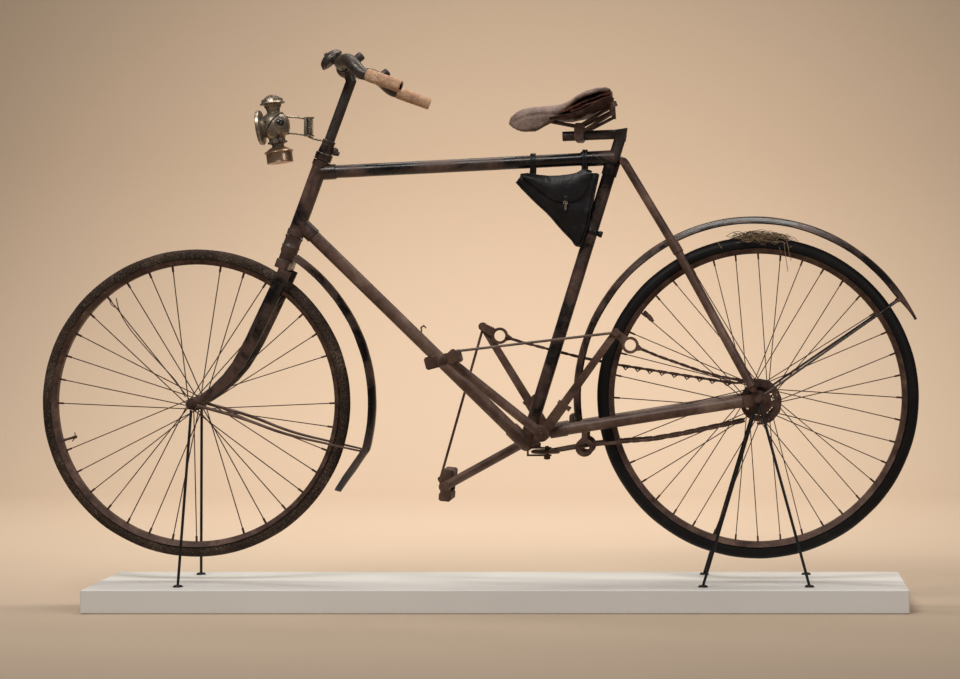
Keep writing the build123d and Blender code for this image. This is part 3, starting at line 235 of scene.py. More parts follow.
def makeStage():
    bm = bmesh.new()
    low = bm.verts.new((0, view["floorFront"], 0))
    bend = bm.verts.new((0, view["floorBack"], 0))
    bm.edges.new((low, bend))
    spun = bmesh.ops.spin(bm, geom=[bend], cent=(0, view["floorBack"], view["sweepRadius"]), axis=(1, 0, 0),
                          angle=pi / 2, steps=16)
    top = [g for g in spun["geom_last"] if isinstance(g, bmesh.types.BMVert)]
    raised = bmesh.ops.extrude_vert_indiv(bm, verts=top)["verts"]
    bmesh.ops.translate(bm, verts=raised, vec=(0, 0, view["wallHeight"]))
    bmesh.ops.translate(bm, verts=bm.verts, vec=(-view["halfWidth"], 0, 0))
    edges = bmesh.ops.extrude_edge_only(bm, edges=bm.edges[:])
    moved = [g for g in edges["geom"] if isinstance(g, bmesh.types.BMVert)]
    bmesh.ops.translate(bm, verts=moved, vec=(2 * view["halfWidth"], 0, 0))
    bmesh.ops.recalc_face_normals(bm, faces=bm.faces)
    if min(bm.faces, key=lambda face: face.calc_center_median().z).normal.z < 0:
        bmesh.ops.reverse_faces(bm, faces=bm.faces)
    mesh = bpy.data.meshes.new("backdrop")
    bm.to_mesh(mesh)
    bm.free()
    mesh.shade_smooth()
    mesh.materials.append(makePaper())
    sweep = bpy.data.objects.new("backdrop", mesh)
    bpy.context.scene.collection.objects.link(sweep)


def makeWorld():
    world = bpy.data.worlds.new("studio")
    bpy.context.scene.world = world
    world.use_nodes = True
    sky = world.node_tree.nodes["Background"]
    sky.inputs["Color"].default_value = (1.0, 0.97, 0.93, 1)
    seen = world.node_tree.nodes.new("ShaderNodeLightPath")
    level = world.node_tree.nodes.new("ShaderNodeMath")
    level.operation = "MULTIPLY_ADD"
    level.inputs[1].default_value = view["worldSeen"] - view["worldStrength"]
    level.inputs[2].default_value = view["worldStrength"]
    world.node_tree.links.new(seen.outputs["Is Camera Ray"], level.inputs[0])
    world.node_tree.links.new(level.outputs["Value"], sky.inputs["Strength"])


makeCamera()
makeStage()
makeWorld()
for name, values in lights.items():
    makeLight(name, *values)
bpy.context.scene.view_settings.view_transform = "Standard"
print("camera and stage ready")

# materials


# black enamel gone brown: rust blooms, bare chips and long scratches
def wornEnamel():
    f = Finish("wornEnamel", rough=0.36, specular=0.42)
    bloom = f.noise(8, 8, 0.65, 0.6)
    patch = f.mask(bloom, 0.44, 0.62)
    dark = f.blend(f.noise(38, 4), (0.0016, 0.0014, 0.0016), (0.010, 0.006, 0.0055))
    rust = f.blend(f.noise(60, 6), (0.070, 0.034, 0.026), (0.185, 0.108, 0.080))
    body = f.blend(patch, dark, rust)
    streak = f.mask(f.noise(24, 8, 0.7, 0.3, f.stretched((0.5, 2.2, 1.2))), 0.50, 0.66)
    body = f.blend(f.faint(streak, 0.55), body, (0.052, 0.046, 0.042))
    chips = f.mask(f.noise(95, 10, 0.75), 0.62, 0.68)
    f.colour(f.blend(f.faint(chips, 0.5), body, (0.15, 0.11, 0.085)))
    f.rough(patch, 0.22, 0.56)
    f.bump(f.noise(160, 8), 0.25, 0.0006)
    f.bump(patch, 0.3, 0.0004)
    return f.material


# bare brown paint gone chalky, with rubbed dark places
def brownPaint():
    f = Finish("brownPaint", rough=0.46, specular=0.42)
    base = f.ramp(f.noise(12, 8, 0.7, 0.4), (0.34, (0.042, 0.020, 0.013)), (0.52, (0.120, 0.064, 0.044)),
                  (0.72, (0.24, 0.158, 0.118)))
    spots = f.mask(f.noise(70, 8, 0.75), 0.58, 0.68)
    f.colour(f.blend(f.faint(spots, 0.8), base, (0.022, 0.012, 0.010)))
    f.rough(spots, 0.44, 0.62)
    f.bump(f.noise(150, 8), 0.25, 0.0006)
    return f.material


def rustySteel():
    f = Finish("rustySteel", rough=0.6, specular=0.25)
    blotch = f.noise(30, 8, 0.7)
    fine = f.noise(190, 6)
    base = f.ramp(blotch, (0.30, (0.034, 0.018, 0.014)), (0.52, (0.125, 0.070, 0.052)),
                  (0.76, (0.28, 0.175, 0.125)))
    f.colour(f.blend(f.faint(fine, 0.5), base, (0.02, 0.013, 0.011)))
    f.metal(blotch, 0.45, 0.0)
    f.rough(blotch, 0.38, 0.78)
    f.bump(fine, 0.4, 0.0005)
    return f.material


# plating nearly gone: dark brown oxide with grey metal left in places
def wornNickel():
    f = Finish("wornNickel", rough=0.36, metal=0.6)
    bloom = f.mask(f.noise(22, 8, 0.7), 0.36, 0.56)
    pits = f.mask(f.noise(180, 8), 0.56, 0.66)
    bright = f.blend(f.noise(55, 3), (0.15, 0.135, 0.12), (0.075, 0.060, 0.050))
    aged = f.blend(bloom, bright, (0.036, 0.020, 0.0155))
    f.colour(f.blend(pits, aged, (0.014, 0.009, 0.008)))
    f.rough(bloom, 0.26, 0.55)
    f.metal(bloom, 0.85, 0.15)
    f.bump(pits, 0.25, 0.0004)
    return f.material


# greyed nickel over brass, dark in the hollows
def oldBrass():
    f = Finish("oldBrass", rough=0.34, metal=0.9)
    bloom = f.mask(f.noise(30, 8, 0.7), 0.42, 0.62)
    bright = f.blend(f.noise(60, 3), (0.50, 0.43, 0.335), (0.29, 0.235, 0.17))
    f.colour(f.blend(bloom, bright, (0.075, 0.052, 0.036)))
    f.rough(bloom, 0.34, 0.60)
    f.metal(bloom, 0.95, 0.5)
    f.bump(f.noise(120, 6), 0.2, 0.0005)
    return f.material


def copperTank():
    f = Finish("copperTank", rough=0.34, metal=0.9)
    bloom = f.mask(f.noise(26, 8, 0.7), 0.38, 0.62)
    f.colour(f.blend(bloom, (0.50, 0.34, 0.225), (0.20, 0.125, 0.082)))
    f.rough(bloom, 0.24, 0.52)
    f.bump(f.noise(110, 6), 0.2, 0.0005)
    return f.material


# grey-brown perished rubber, cracked and dusty
def frontRubber():
    f = Finish("frontRubber", rough=0.9, specular=0.1)
    cracks = f.mask(f.cells(150, "DISTANCE_TO_EDGE"), 0.0, 0.12)
    dust = f.noise(14, 8, 0.7)
    base = f.ramp(dust, (0.30, (0.022, 0.015, 0.012)), (0.55, (0.072, 0.048, 0.036)),
                  (0.75, (0.19, 0.145, 0.108)))
    speckle = f.mask(f.noise(300, 4), 0.54, 0.66)
    worn = f.blend(f.faint(speckle, 0.4), base, (0.26, 0.205, 0.16))
    f.colour(f.blend(cracks, (0.022, 0.016, 0.012), worn))
    f.bump(cracks, 0.5, 0.0008)
    f.bump(f.noise(260, 6), 0.3, 0.0006)
    return f.material


def rearRubber():
    f = Finish("rearRubber", rough=0.5, specular=0.14)
    dust = f.noise(12, 8, 0.7)
    base = f.ramp(dust, (0.35, (0.0042, 0.0042, 0.0046)), (0.62, (0.0095, 0.009, 0.009)),
                  (0.82, (0.038, 0.033, 0.029)))
    f.colour(f.blend(f.faint(f.noise(300, 4), 0.18), base, (0.045, 0.037, 0.031)))
    f.rough(dust, 0.34, 0.70)
    f.bump(f.noise(220, 6), 0.3, 0.0006)
    return f.material


def pedalRubber():
    f = Finish("pedalRubber", rough=0.85, specular=0.12)
    wear = f.noise(80, 8, 0.7)
    f.colour(f.ramp(wear, (0.35, (0.030, 0.020, 0.016)), (0.58, (0.15, 0.105, 0.085)),
                    (0.76, (0.45, 0.37, 0.31))))
    f.bump(wear, 0.6, 0.001)
    return f.material


# old saddle leather: brown, crazed, rubbed pale along its ridges
def saddleHide():
    f = Finish("saddleHide", rough=0.55, specular=0.3)
    tone = f.noise(20, 8, 0.65, 0.4)
    base = f.ramp(tone, (0.30, (0.085, 0.050, 0.040)), (0.48, (0.235, 0.155, 0.125)),
                  (0.76, (0.42, 0.30, 0.25)))
    crazing = f.ramp(f.cells(260, "DISTANCE_TO_EDGE"), (0.0, 0.55), (0.10, 1.0))
    dirt = f.mask(f.noise(34, 6, 0.7), 0.44, 0.66)
    rubbed = f.blend(f.faint(dirt, 0.5), base, (0.030, 0.018, 0.015))
    f.colour(f.blend(crazing, (0.02, 0.012, 0.010), rubbed))
    f.rough(tone, 0.38, 0.70)
    f.bump(crazing, 0.30, 0.0006)
    f.bump(f.noise(70, 8), 0.5, 0.0016)
    return f.material


def tornHide():
    f = Finish("tornHide", rough=0.75, specular=0.3)
    f.colour(f.ramp(f.noise(60, 8, 0.7), (0.30, (0.035, 0.012, 0.009)), (0.55, (0.150, 0.052, 0.032)),
                    (0.80, (0.36, 0.20, 0.12))))
    f.bump(f.noise(200, 6), 0.5, 0.0008)
    return f.material


def darkHide():
    f = Finish("darkHide", rough=0.45, specular=0.22)
    tone = f.noise(26, 8, 0.65, 0.4)
    f.colour(f.ramp(tone, (0.32, (0.010, 0.0045, 0.004)), (0.54, (0.042, 0.018, 0.013)),
                    (0.80, (0.125, 0.068, 0.052))))
    f.rough(tone, 0.30, 0.62)
    f.bump(f.noise(80, 8), 0.5, 0.0014)
    return f.material


def darkJewel():
    f = Finish("darkJewel", rough=0.08, specular=0.8)
    f.colour(f.blend(f.noise(70, 3), (0.002, 0.003, 0.004), (0.010, 0.012, 0.014)))
    f.rough(f.noise(160, 3), 0.05, 0.16)
    return f.material


# near-black finish, used for painted shade in the grip bores, the saddle hollow and the lamp's holes, seam
# and vents
def deepBlack():
    f = Finish("deepBlack", rough=0.9, specular=0.1)
    f.colour(f.blend(f.noise(90, 3), (0.0015, 0.0013, 0.0012), (0.006, 0.005, 0.004)))
    return f.material


def bagHide():
    f = Finish("bagHide", rough=0.5, specular=0.3)
    tone = f.noise(16, 8, 0.65)
    f.colour(f.ramp(tone, (0.32, (0.0045, 0.0042, 0.0048)), (0.58, (0.013, 0.0115, 0.0125)),
                    (0.80, (0.042, 0.032, 0.029))))
    f.rough(tone, 0.30, 0.50)
    f.bump(f.cells(420), 0.35, 0.0005)
    f.bump(f.noise(45, 8), 0.5, 0.002)
    return f.material


def oldCork():
    f = Finish("oldCork", rough=0.85, specular=0.25)
    crumbs = f.cells(260)
    tone = f.noise(36, 8, 0.7)
    base = f.ramp(tone, (0.30, (0.34, 0.165, 0.105)), (0.50, (0.56, 0.35, 0.215)), (0.74, (0.80, 0.62, 0.42)))
    pits = f.mask(crumbs, 0.18, 0.45)
    f.colour(f.blend(pits, (0.32, 0.175, 0.11), base))
    f.bump(crumbs, 0.5, 0.001)
    return f.material


def strutBlack():
    f = Finish("strutBlack", rough=0.38, specular=0.2)
    f.colour(f.blend(f.noise(40, 4), (0.008, 0.008, 0.009), (0.020, 0.019, 0.018)))
    f.bump(f.noise(300, 3), 0.1, 0.0002)
    return f.material


def plinthPaint():
    f = Finish("plinthPaint", rough=0.55, specular=0.3)
    f.colour(f.blend(f.noise(3, 6), (0.80, 0.785, 0.755), (0.73, 0.71, 0.675)))
    f.rough(f.noise(14, 4), 0.45, 0.62)
    f.bump(f.noise(260, 4), 0.08, 0.0003)
    return f.material


def dustyGlass():
    f = Finish("dustyGlass", rough=0.25, specular=0.6)
    haze = f.noise(40, 6, 0.7)
    f.colour(f.ramp(haze, (0.35, (0.16, 0.14, 0.11)), (0.70, (0.42, 0.38, 0.30))))
    f.rough(haze, 0.12, 0.5)
    return f.material


def dryStraw():
    f = Finish("dryStraw", rough=0.8, specular=0.3)
    f.colour(f.ramp(f.noise(120, 4), (0.3, (0.10, 0.060, 0.032)), (0.7, (0.42, 0.30, 0.18))))
    return f.material


finishes = {
    "white_board": plinthPaint(),
    "black_rod": strutBlack(),
    "worn_enamel": wornEnamel(),
    "rusty_steel": rustySteel(),
    "brown_paint": brownPaint(),
    "worn_nickel": wornNickel(),
    "old_brass": oldBrass(),
    "front_rubber": frontRubber(),
    "rear_rubber": rearRubber(),
    "pedal_rubber": pedalRubber(),
    "saddle_leather": saddleHide(),
    "bag_leather": bagHide(),
    "cork": oldCork(),
    "lamp_glass": dustyGlass(),
    "straw": dryStraw(),
    "copper_tank": copperTank(),
    "torn_hide": tornHide(),
    "dark_hide": darkHide(),
    "deep_black": deepBlack(),
    "dark_jewel": darkJewel(),
}
# nodes whose enamel has gone brown all over
brownNodes = ("left_lever", "right_lever", "left_tie_rod", "right_tie_rod", "left_stirrup", "right_stirrup",
              "chain_stays", "seat_stays", "down_tube", "bottom_bracket", "left_pedal_frame",
              "right_pedal_frame")
slotOf = {entry["node"]: entry["material_slot"] for entry in frame["record"]["subparts"]}


def dressNodes():
    for name, part in nodes.items():
        part.data.materials.clear()
        slot = "brown_paint" if name in brownNodes else slotOf[name]
        part.data.materials.append(finishes[slot])


dressNodes()
print("materials ready")

# small makers shared by the pieces


def piece(name, bm, body, slot, *stands, sharp=38):
    bmesh.ops.remove_doubles(bm, verts=bm.verts, dist=0.00002)
    bmesh.ops.recalc_face_normals(bm, faces=bm.faces)
    mesh = bpy.data.meshes.new(name)
    bm.to_mesh(mesh)
    bm.free()
    mesh.shade_smooth()
    mesh.set_sharp_from_angle(angle=radians(sharp))
    made = bpy.data.objects.new(name, mesh)
    bpy.context.scene.collection.objects.link(made)
    mesh.materials.append(finishes[slot])
    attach(made, body)
    if stands:
        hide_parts(*stands)
    return made


def mirrored(point, side):
    return (point[0], point[1] * side, point[2])


def smoothStep(share):
    share = min(max(share, 0.0), 1.0)
    return share * share * (3 - 2 * share)


# value or row of values between the stops of a table
def along(stops, where):
    for (a, low), (b, high) in zip(stops, stops[1:]):
        if where <= b:
            share = max(0.0, (where - a) / (b - a))
            if hasattr(low, "__len__"):
                return [p + (q - p) * share for p, q in zip(low, high)]
            return low + (high - low) * share
    return stops[-1][1]


# profile of (distance along the axis, radius), in mm, spun round the axis
def lathe(bm, profile, centre, axis, steps):
    axis = Vector(axis).normalized()
    side = axis.orthogonal().normalized()
    middle = place(*centre)
    verts = [bm.verts.new(middle + (axis * a + side * max(r, 0.001)) * mm) for a, r in profile]
    edges = [bm.edges.new(pair) for pair in zip(verts, verts[1:])]
    bmesh.ops.spin(bm, geom=verts + edges, cent=middle, axis=axis, angle=2 * pi, steps=steps, use_merge=True)


# profile of a ring for lathe: middle along the axis, ring radius and wire radius in mm
def ringSection(middle, radius, wire, squash=1.0, count=8):
    turns = [2 * pi * n / count for n in range(count + 1)]
    return [(middle + wire * squash * sin(turn), radius + wire * cos(turn)) for turn in turns]


# number of the stretch and the values there, at a share of the way through a list of points
def partWay(points, share):
    where = share * (len(points) - 1)
    n = min(int(where), len(points) - 2)
    return n, [p + (q - p) * (where - n) for p, q in zip(points[n], points[n + 1])]


# round bar along points in mm, straight runs with VECTOR handles and bent ones with AUTO
def tube(bm, points, radius, sides=6, handles="AUTO", ends=True, closed=False):
    line = bpy.data.curves.new("line", "CURVE")
    line.dimensions = "3D"
    line.resolution_u = 6 if handles == "AUTO" else 1
    line.bevel_depth = 1 * mm
    line.bevel_resolution = sides
    line.use_fill_caps = ends
    run = line.splines.new("BEZIER")
    run.bezier_points.add(len(points) - 1)
    run.use_cyclic_u = closed
    sizes = radius if hasattr(radius, "__len__") else [radius] * len(points)
    for knot, point, size in zip(run.bezier_points, points, sizes):
        knot.co = place(*point)
        knot.handle_left_type = knot.handle_right_type = handles
        knot.radius = size
    holder = bpy.data.objects.new("line", line)
    shape = bpy.data.meshes.new_from_object(holder)
    bm.from_mesh(shape)
    bpy.data.objects.remove(holder)
    bpy.data.meshes.remove(shape)
    bpy.data.curves.remove(line)


# grid of columns by rows laid on the surface that shape(u, v) gives, then thickened in mm
def sheet(bm, columns, rows, shape, thickness=0.0):
    made = bmesh.ops.create_grid(bm, x_segments=columns, y_segments=rows, size=0.5)["verts"]
    for vert in made:
        vert.co = shape(vert.co.x + 0.5, vert.co.y + 0.5) * mm
    faces = list({face for vert in made for face in vert.link_faces})
    if thickness:
        bmesh.ops.recalc_face_normals(bm, faces=faces)
        bmesh.ops.solidify(bm, geom=faces, thickness=thickness * mm)
    return made


# rounds the edges at these points, or those of them that the test keeps, radius in mm
def roundEdges(bm, verts, radius, segments=2, keep=lambda edge: True):
    edges = {edge for vert in verts for edge in vert.link_edges}
    bmesh.ops.bevel(bm, geom=[edge for edge in edges if keep(edge)], offset=radius * mm, segments=segments,
                    profile=0.5, affect="EDGES", material=-1)


def nut(bm, centre, axis, width, height, sides=6):
    made = bmesh.ops.create_cone(bm, cap_ends=True, segments=sides, radius1=width / 2 * mm,
                                 radius2=width / 2 * mm, depth=height * mm)["verts"]
    turn = Vector(axis).to_track_quat("Z", "Y").to_matrix()
    bmesh.ops.rotate(bm, verts=made, matrix=turn)
    bmesh.ops.translate(bm, verts=made, vec=place(*centre))
    roundEdges(bm, made, min(width, height) * 0.12)


# moves each point along its normal by soft noise, both in mm
def ruffle(obj, size, height, seed):
    for vert in obj.data.vertices:
        vert.co += vert.normal * noise.noise(vert.co / (size * mm) + Vector(seed)) * height * mm


# lets air into a sewn skin: even remesh, cloth with pressure, no point moved past the cap (mm in x, y, z)
def swell(obj, voxel, pressure, cap, stiffness):
    even = obj.modifiers.new("even", "REMESH")
    even.mode, even.voxel_size, even.use_smooth_shade = "VOXEL", voxel * mm, True
    settle(obj)
    before = [vert.co.copy() for vert in obj.data.vertices]
    cloth = obj.modifiers.new("skin", "CLOTH")
    cloth.settings.use_pressure = True
    cloth.settings.uniform_pressure_force = pressure
    cloth.settings.tension_stiffness = cloth.settings.compression_stiffness = stiffness
    cloth.settings.bending_stiffness = 2
    cloth.settings.effector_weights.gravity = 0
    cloth.settings.quality = 6
    for step in range(1, 21):
        bpy.context.scene.frame_set(step)
    settle(obj)
    bpy.context.scene.frame_set(1)
    for vert, start in zip(obj.data.vertices, before):
        moved = vert.co - start
        vert.co = start + Vector([max(-most * mm, min(most * mm, shift)) for most, shift in zip(cap, moved)])


# presses a crease into both sides of a piece, along a line in side view
def press(obj, line, width, depth):
    for vert in obj.data.vertices:
        spot = Vector((vert.co.x, vert.co.z)) / mm
        for (x1, z1), (x2, z2) in zip(line, line[1:]):
            run = Vector((x2 - x1, z2 - z1))
            share = max(0, min(1, (spot - Vector((x1, z1))).dot(run) / run.length_squared))
            away = (spot - Vector((x1, z1)) - run * share).length
            if away < width:
                vert.co.y -= depth * mm * (1 - away / width) * (1 if vert.co.y > 0 else -1)
                break


# applies every modifier on the piece
def settle(obj):
    graph = bpy.context.evaluated_depsgraph_get()
    shape = bpy.data.meshes.new_from_object(obj.evaluated_get(graph), depsgraph=graph)
    obj.modifiers.clear()
    old = obj.data
    obj.data = shape
    shape.shade_smooth()
    bpy.data.meshes.remove(old)


# tyres

tyres = {
    "front": {"hub": frontHub, "radius": 330.5, "section": 15.0, "flat": 0.96, "slot": "front_rubber"},
    "rear": {"hub": rearHub, "radius": 346.0, "section": 17.0, "flat": 1.0, "slot": "rear_rubber"},
}


def makeTyre(name):
    t = tyres[name]
    bm = bmesh.new()
    section = ringSection(0, t["radius"] - t["section"], t["section"], t["flat"], 28)
    lathe(bm, section, t["hub"], (0, 1, 0), 160)
    made = piece(name + "Tyre", bm, name + "_wheel", t["slot"], name + "_tyre", sharp=60)
    ruffle(made, 55, 0.7, (3, 1, 2))


makeTyre("front")
makeTyre("rear")
print("tyres ready")

# mudguards

guards = {
    # angles of the ends and of the narrow tip in degrees
    "rear": {"hub": (541.6, 0, 444.6), "radius": 389, "start": 187.7, "end": 25.6, "tip": 12, "body": "root",
             "columns": 150},
    "front": {"hub": frontHub, "radius": 387, "start": 55.6, "end": -15.3, "tip": 0, "body": "steering",
              "columns": 90},
}
guardSection = {"half": 25, "depth": 14, "wall": 1.4}
frontFlap = {"tip": (-346.6, 240.6), "length": 0.22, "roundFrom": 0.45}


def makeMudguard(name):
    g = guards[name]
    half, depth = guardSection["half"], guardSection["depth"]
    span = g["start"] - g["end"]
    flap = frontFlap["length"] if name == "front" else 0.0

    def shape(u, v):
        across = 2 * v - 1
        drop = depth * abs(across) ** 2.2
        width = half
        if g["tip"]:
            narrow = smoothStep((1 - u) * span / g["tip"])
            width *= 0.10 + 0.90 * narrow
            drop *= 0.4 + 0.6 * narrow
        out = facing(g["start"] - span * min(u / (1 - flap), 1.0))
        bend = 0.8 * noise.noise(Vector((u * 14, v * 2, 5)))
        point = Vector(g["hub"]) + out * (g["radius"] - 0.4 - drop + bend)
        point.y = across * width
        if flap and u > 1 - flap:
            past = (u - (1 - flap)) / flap
            point += (flat(frontFlap["tip"]) - Vector(g["hub"]) - out * g["radius"]) * past
            late = max(0.0, (past - frontFlap["roundFrom"]) / (1 - frontFlap["roundFrom"]))
            point.y = across * (half - 0.4) * max((1 - min(late, 1.0) ** 2) ** 0.5, 0.12)
        return point

    bm = bmesh.new()
    sheet(bm, g["columns"], 14, shape, guardSection["wall"])
    piece(name + "Mudguard", bm, g["body"], "worn_enamel", name + "_mudguard", sharp=50)


makeMudguard("rear")
makeMudguard("front")

frontStays = {
    # one side's rod from the axle to the guard, with its radius at each point
    "points": [(frontHub[0], 45.5, frontHub[2]), (-610, 45, 419), (-555, 43, 402.9), (-459.5, 37, 368.1),
               (-371.7, 31, 346.5), (-299, 26.8, 330)],
    "radii": [3.4, 3.5, 3.5, 3.1, 2.4, 2.1], "eye": (11, 6.2, 1.5),
}


def makeFrontStays():
    bm = bmesh.new()
    outer, bore, half = frontStays["eye"]
    for side in (-1, 1):
        points = [mirrored(point, side) for point in frontStays["points"]]
        tube(bm, points, frontStays["radii"], sides=4)
        eye = [(-half, bore), (-half, outer), (half, outer), (half, bore), (-half, bore)]
        lathe(bm, eye, points[0], (0, 1, 0), 32)
        lathe(bm, [(-1.6, 0), (-1.6, 4.4), (0.8, 4.4), (2, 2.6), (2, 0)], points[-1], (0, side, 0), 16)
    piece("frontStays", bm, "steering", "brown_paint", "front_mudguard_stays", sharp=40)


makeFrontStays()
print("mudguards ready")

# handlebar, grips and bell

bar = {
    "head": (-334.6, 1152.0), "sleeve": [10.9, 10.9, 12.6, 15, 14.6, 13, 10.9],
    "knots": [(-334.6, 0, 1152.0), (-334.6, 84, 1152), (-326, 126, 1152), (-304, 174, 1151),
              (-288, 202, 1141), (-268, 214, 1122), (-248.5, 217.7, 1115)],
    "gripStart": (-268, 214, 1122), "gripEnd": (-185, 230, 1092), "gripFrom": 12, "gripRadius": 13.8,
    "lugFrom": (-297, 1142), "lugTo": (-271.5, 1162.3), "lugY": 181, "lugRadius": 9.3, "lugCollar": 12.8,
}


def makeHandlebar():
    bm = bmesh.new()
    r, c = bar["lugRadius"], bar["lugCollar"]
    run = flat(bar["lugTo"]) - flat(bar["lugFrom"])
    end = run.length
    lug = [(-4, 0), (-4, r - 1), (8, r - 1), (9, c - 1), (10, c), (12.5, c), (13.5, c - 1), (14, r),
           (end - 3, r), (end - 1, r - 1), (end, r - 3), (end, 0)]
    for side in (-1, 1):
        tube(bm, [mirrored(point, side) for point in bar["knots"]], bar["sleeve"], sides=7)
        lathe(bm, lug, flat(bar["lugFrom"], side * bar["lugY"]), run, 28)
    piece("handlebar", bm, "steering", "worn_nickel", "handlebar", sharp=40)


def makeGrips():
    cork, boreShade = bmesh.new(), bmesh.new()
    first, r = bar["gripFrom"], bar["gripRadius"]
    for side in (-1, 1):
        start = Vector(mirrored(bar["gripStart"], side))
        run = Vector(mirrored(bar["gripEnd"], side)) - start
        end = run.length
        profile = [(first, 11.6), (first, r - 2), (first + 2, r - 0.6)]
        profile += [(14 + n * 6, r - 0.35 * (n % 2) - n * 0.055) for n in range(1, 11)]
        profile += [(end - 3, r - 0.9), (end - 0.4, r - 2.2), (end - 0.4, 7.2), (end - 8, 7.0), (end - 8, 0)]
        lathe(cork, profile, start, run, 36)
        # near-black cups inside the recesses at the grip ends: painted shade in the bore
        lathe(boreShade, [(end - 7.7, 0), (end - 7.7, 6.9), (end - 0.8, 7.1)], start, run, 24)
    made = piece("corkGrips", cork, "steering", "cork", "grips", sharp=50)
    ruffle(made, 7, 0.35, (1, 4, 2))
    piece("gripBoreShade", boreShade, "steering", "deep_black", sharp=60)


bellShape = {"centre": (-358.2, -40, 1163.8), "axis": (-1, 0, 1), "radius": 28, "height": 19, "clamp": 14.1}


def makeBell():
    bm = bmesh.new()
    r, h, c = bellShape["radius"], bellShape["height"], bellShape["clamp"]
    dome = [(-3, 0), (-3, r - 7), (-0.5, r - 6), (-0.5, r - 0.6), (1.2, r), (3, r - 0.4), (4.2, r - 1.6),
            (8, r - 2.4), (11.5, r - 5), (14.5, r - 9.5), (16.6, r - 15), (17.8, r - 20), (h - 1, 6),
            (h - 0.6, 5), (h + 1.5, 4.6), (h + 2.7, 3.2), (h + 3, 0)]
    lathe(bm, dome, bellShape["centre"], bellShape["axis"], 48)
    head = flat(bar["head"], bellShape["centre"][1])
    tube(bm, [head, bellShape["centre"]], 5.8, sides=5, handles="VECTOR")
    lathe(bm, [(-8, 11.2), (-8, c - 1), (-7, c), (7, c), (8, c - 1), (8, 11.2)], head, (0, 1, 0), 32)
    piece("bell", bm, "steering", "worn_nickel", "bell", sharp=35)


makeHandlebar()
makeGrips()
makeBell()
print("handlebar, grips and bell ready")

# fork and headset

fork = {
    # x, z, width in side view and width across, down one blade
    "blades": [(-459.5, 718, 29, 20), (-480, 674, 29.5, 20), (-506, 619.5, 29.5, 19.5), (-532, 565, 28.5, 18),
               (-546, 540, 27.5, 16.6), (-562, 513, 26, 14.8), (-584, 486, 23.5, 13.2), (-612, 460, 20.5, 12),
               (-634, 445, 18, 11.2), (-653, 434.0, 16.5, 10.6)],
    "y": 37, "point": (-385.9, 956.1), "lean": 20, "end": 12,
    # foot and height of the crown along the steering line, its width in side view, and how far its ends
    # pass the middles of the blades
    "crown": (-252, 20), "crownWidth": 29, "crownPast": 19,
}


def steeringLine():
    lean = radians(fork["lean"])
    return flat(fork["point"]), Vector((sin(lean), 0, cos(lean)))


def makeBlade(bm, side):
    blades = fork["blades"]

    def shape(u, v):
        n, (x, z, width, depth) = partWay(blades, u)
        ahead, behind = blades[min(n + 1, len(blades) - 1)], blades[max(n - 1, 0)]
        run = (flat(ahead) - flat(behind)).normalized()
        out = Vector((run.z, 0, -run.x))
        turn = 2 * pi * v
        return (Vector((x, side * fork["y"], z)) + out * cos(turn) * width / 2
                + Vector((0, sin(turn) * depth / 2, 0)))

    sheet(bm, 54, 20, shape)
    r = fork["end"]
    end = [(-5.4, 6.3), (-5.4, r - 1), (-4.4, r), (4.4, r), (5.4, r - 1), (5.4, 6.3)]
    lathe(bm, end, mirrored((frontHub[0], fork["y"], frontHub[2]), side), (0, 1, 0), 32)


# block between the blades, rounded while it is upright at the origin, then leant into place
def makeCrown(bm, middle, up):
    low, tall = fork["crown"]
    made = bmesh.ops.create_cube(bm, size=1.0)["verts"]
    size = (fork["crownWidth"] * mm, (2 * fork["y"] + fork["crownPast"]) * mm, (tall - 1) * mm)
    bmesh.ops.scale(bm, verts=made, vec=size)

    def rise(edge):
        return abs((edge.verts[0].co - edge.verts[1].co).normalized().z)

    def block():
        return [vert for vert in bm.verts if vert.co.length < 0.075 and abs(vert.co.z) <= tall / 2 * mm]

    roundEdges(bm, made, 9, 5, lambda edge: rise(edge) > 0.9)
    roundEdges(bm, block(), 1.6, 2, lambda edge: rise(edge) < 0.1)
    crown = block()
    centre = middle + up * (low + 2 + tall / 2) + Vector((up.z, 0, -up.x)) * 2
    bmesh.ops.rotate(bm, verts=crown, matrix=Matrix.Rotation(radians(fork["lean"]), 3, "Y"))
    bmesh.ops.translate(bm, verts=crown, vec=centre * mm)


def makeFork():
    middle, up = steeringLine()
    low = fork["crown"][0]
    bm = bmesh.new()
    makeBlade(bm, -1)
    makeBlade(bm, 1)
    lathe(bm, [(-180, 12.6), (13.6, 12.6), (13.6, 0)], middle, up, 32)
    lathe(bm, [(low + 4, 0), (low + 4, 16.4), (-216, 16.4), (-214.6, 17.4), (-213, 18.4), (-203, 18.4),
               (-201.6, 19.4), (-199.6, 19.4), (-198, 17.8), (-183, 17.8), (-181.6, 19.2), (-177.4, 19.2),
               (-177, 12.4), (-176, 12.4)],
          middle, up, 40)
    makeCrown(bm, middle, up)
    piece("fork", bm, "steering", "worn_enamel", "fork", sharp=45)


headset = [(-3, 12.9), (-3, 17), (-1.6, 18.8), (0.4, 18.8), (1.2, 17.6), (2.4, 17.6), (3.2, 18.9),
           (5.4, 18.9), (6.4, 17.8), (7.4, 17.8), (8.2, 18.8), (11.6, 18.8), (13, 17.4), (14, 15), (14, 12.9)]
stemSleeve = {
    "rings": [(14, 12), (14, 15.2), (15.4, 15.6), (20, 15.2), (30, 13.8), (37, 13.2), (38, 14.2),
              (41.5, 14.2), (42.5, 13), (43, 10)],
    "ball": (-359.3, 974.2, 7),
}


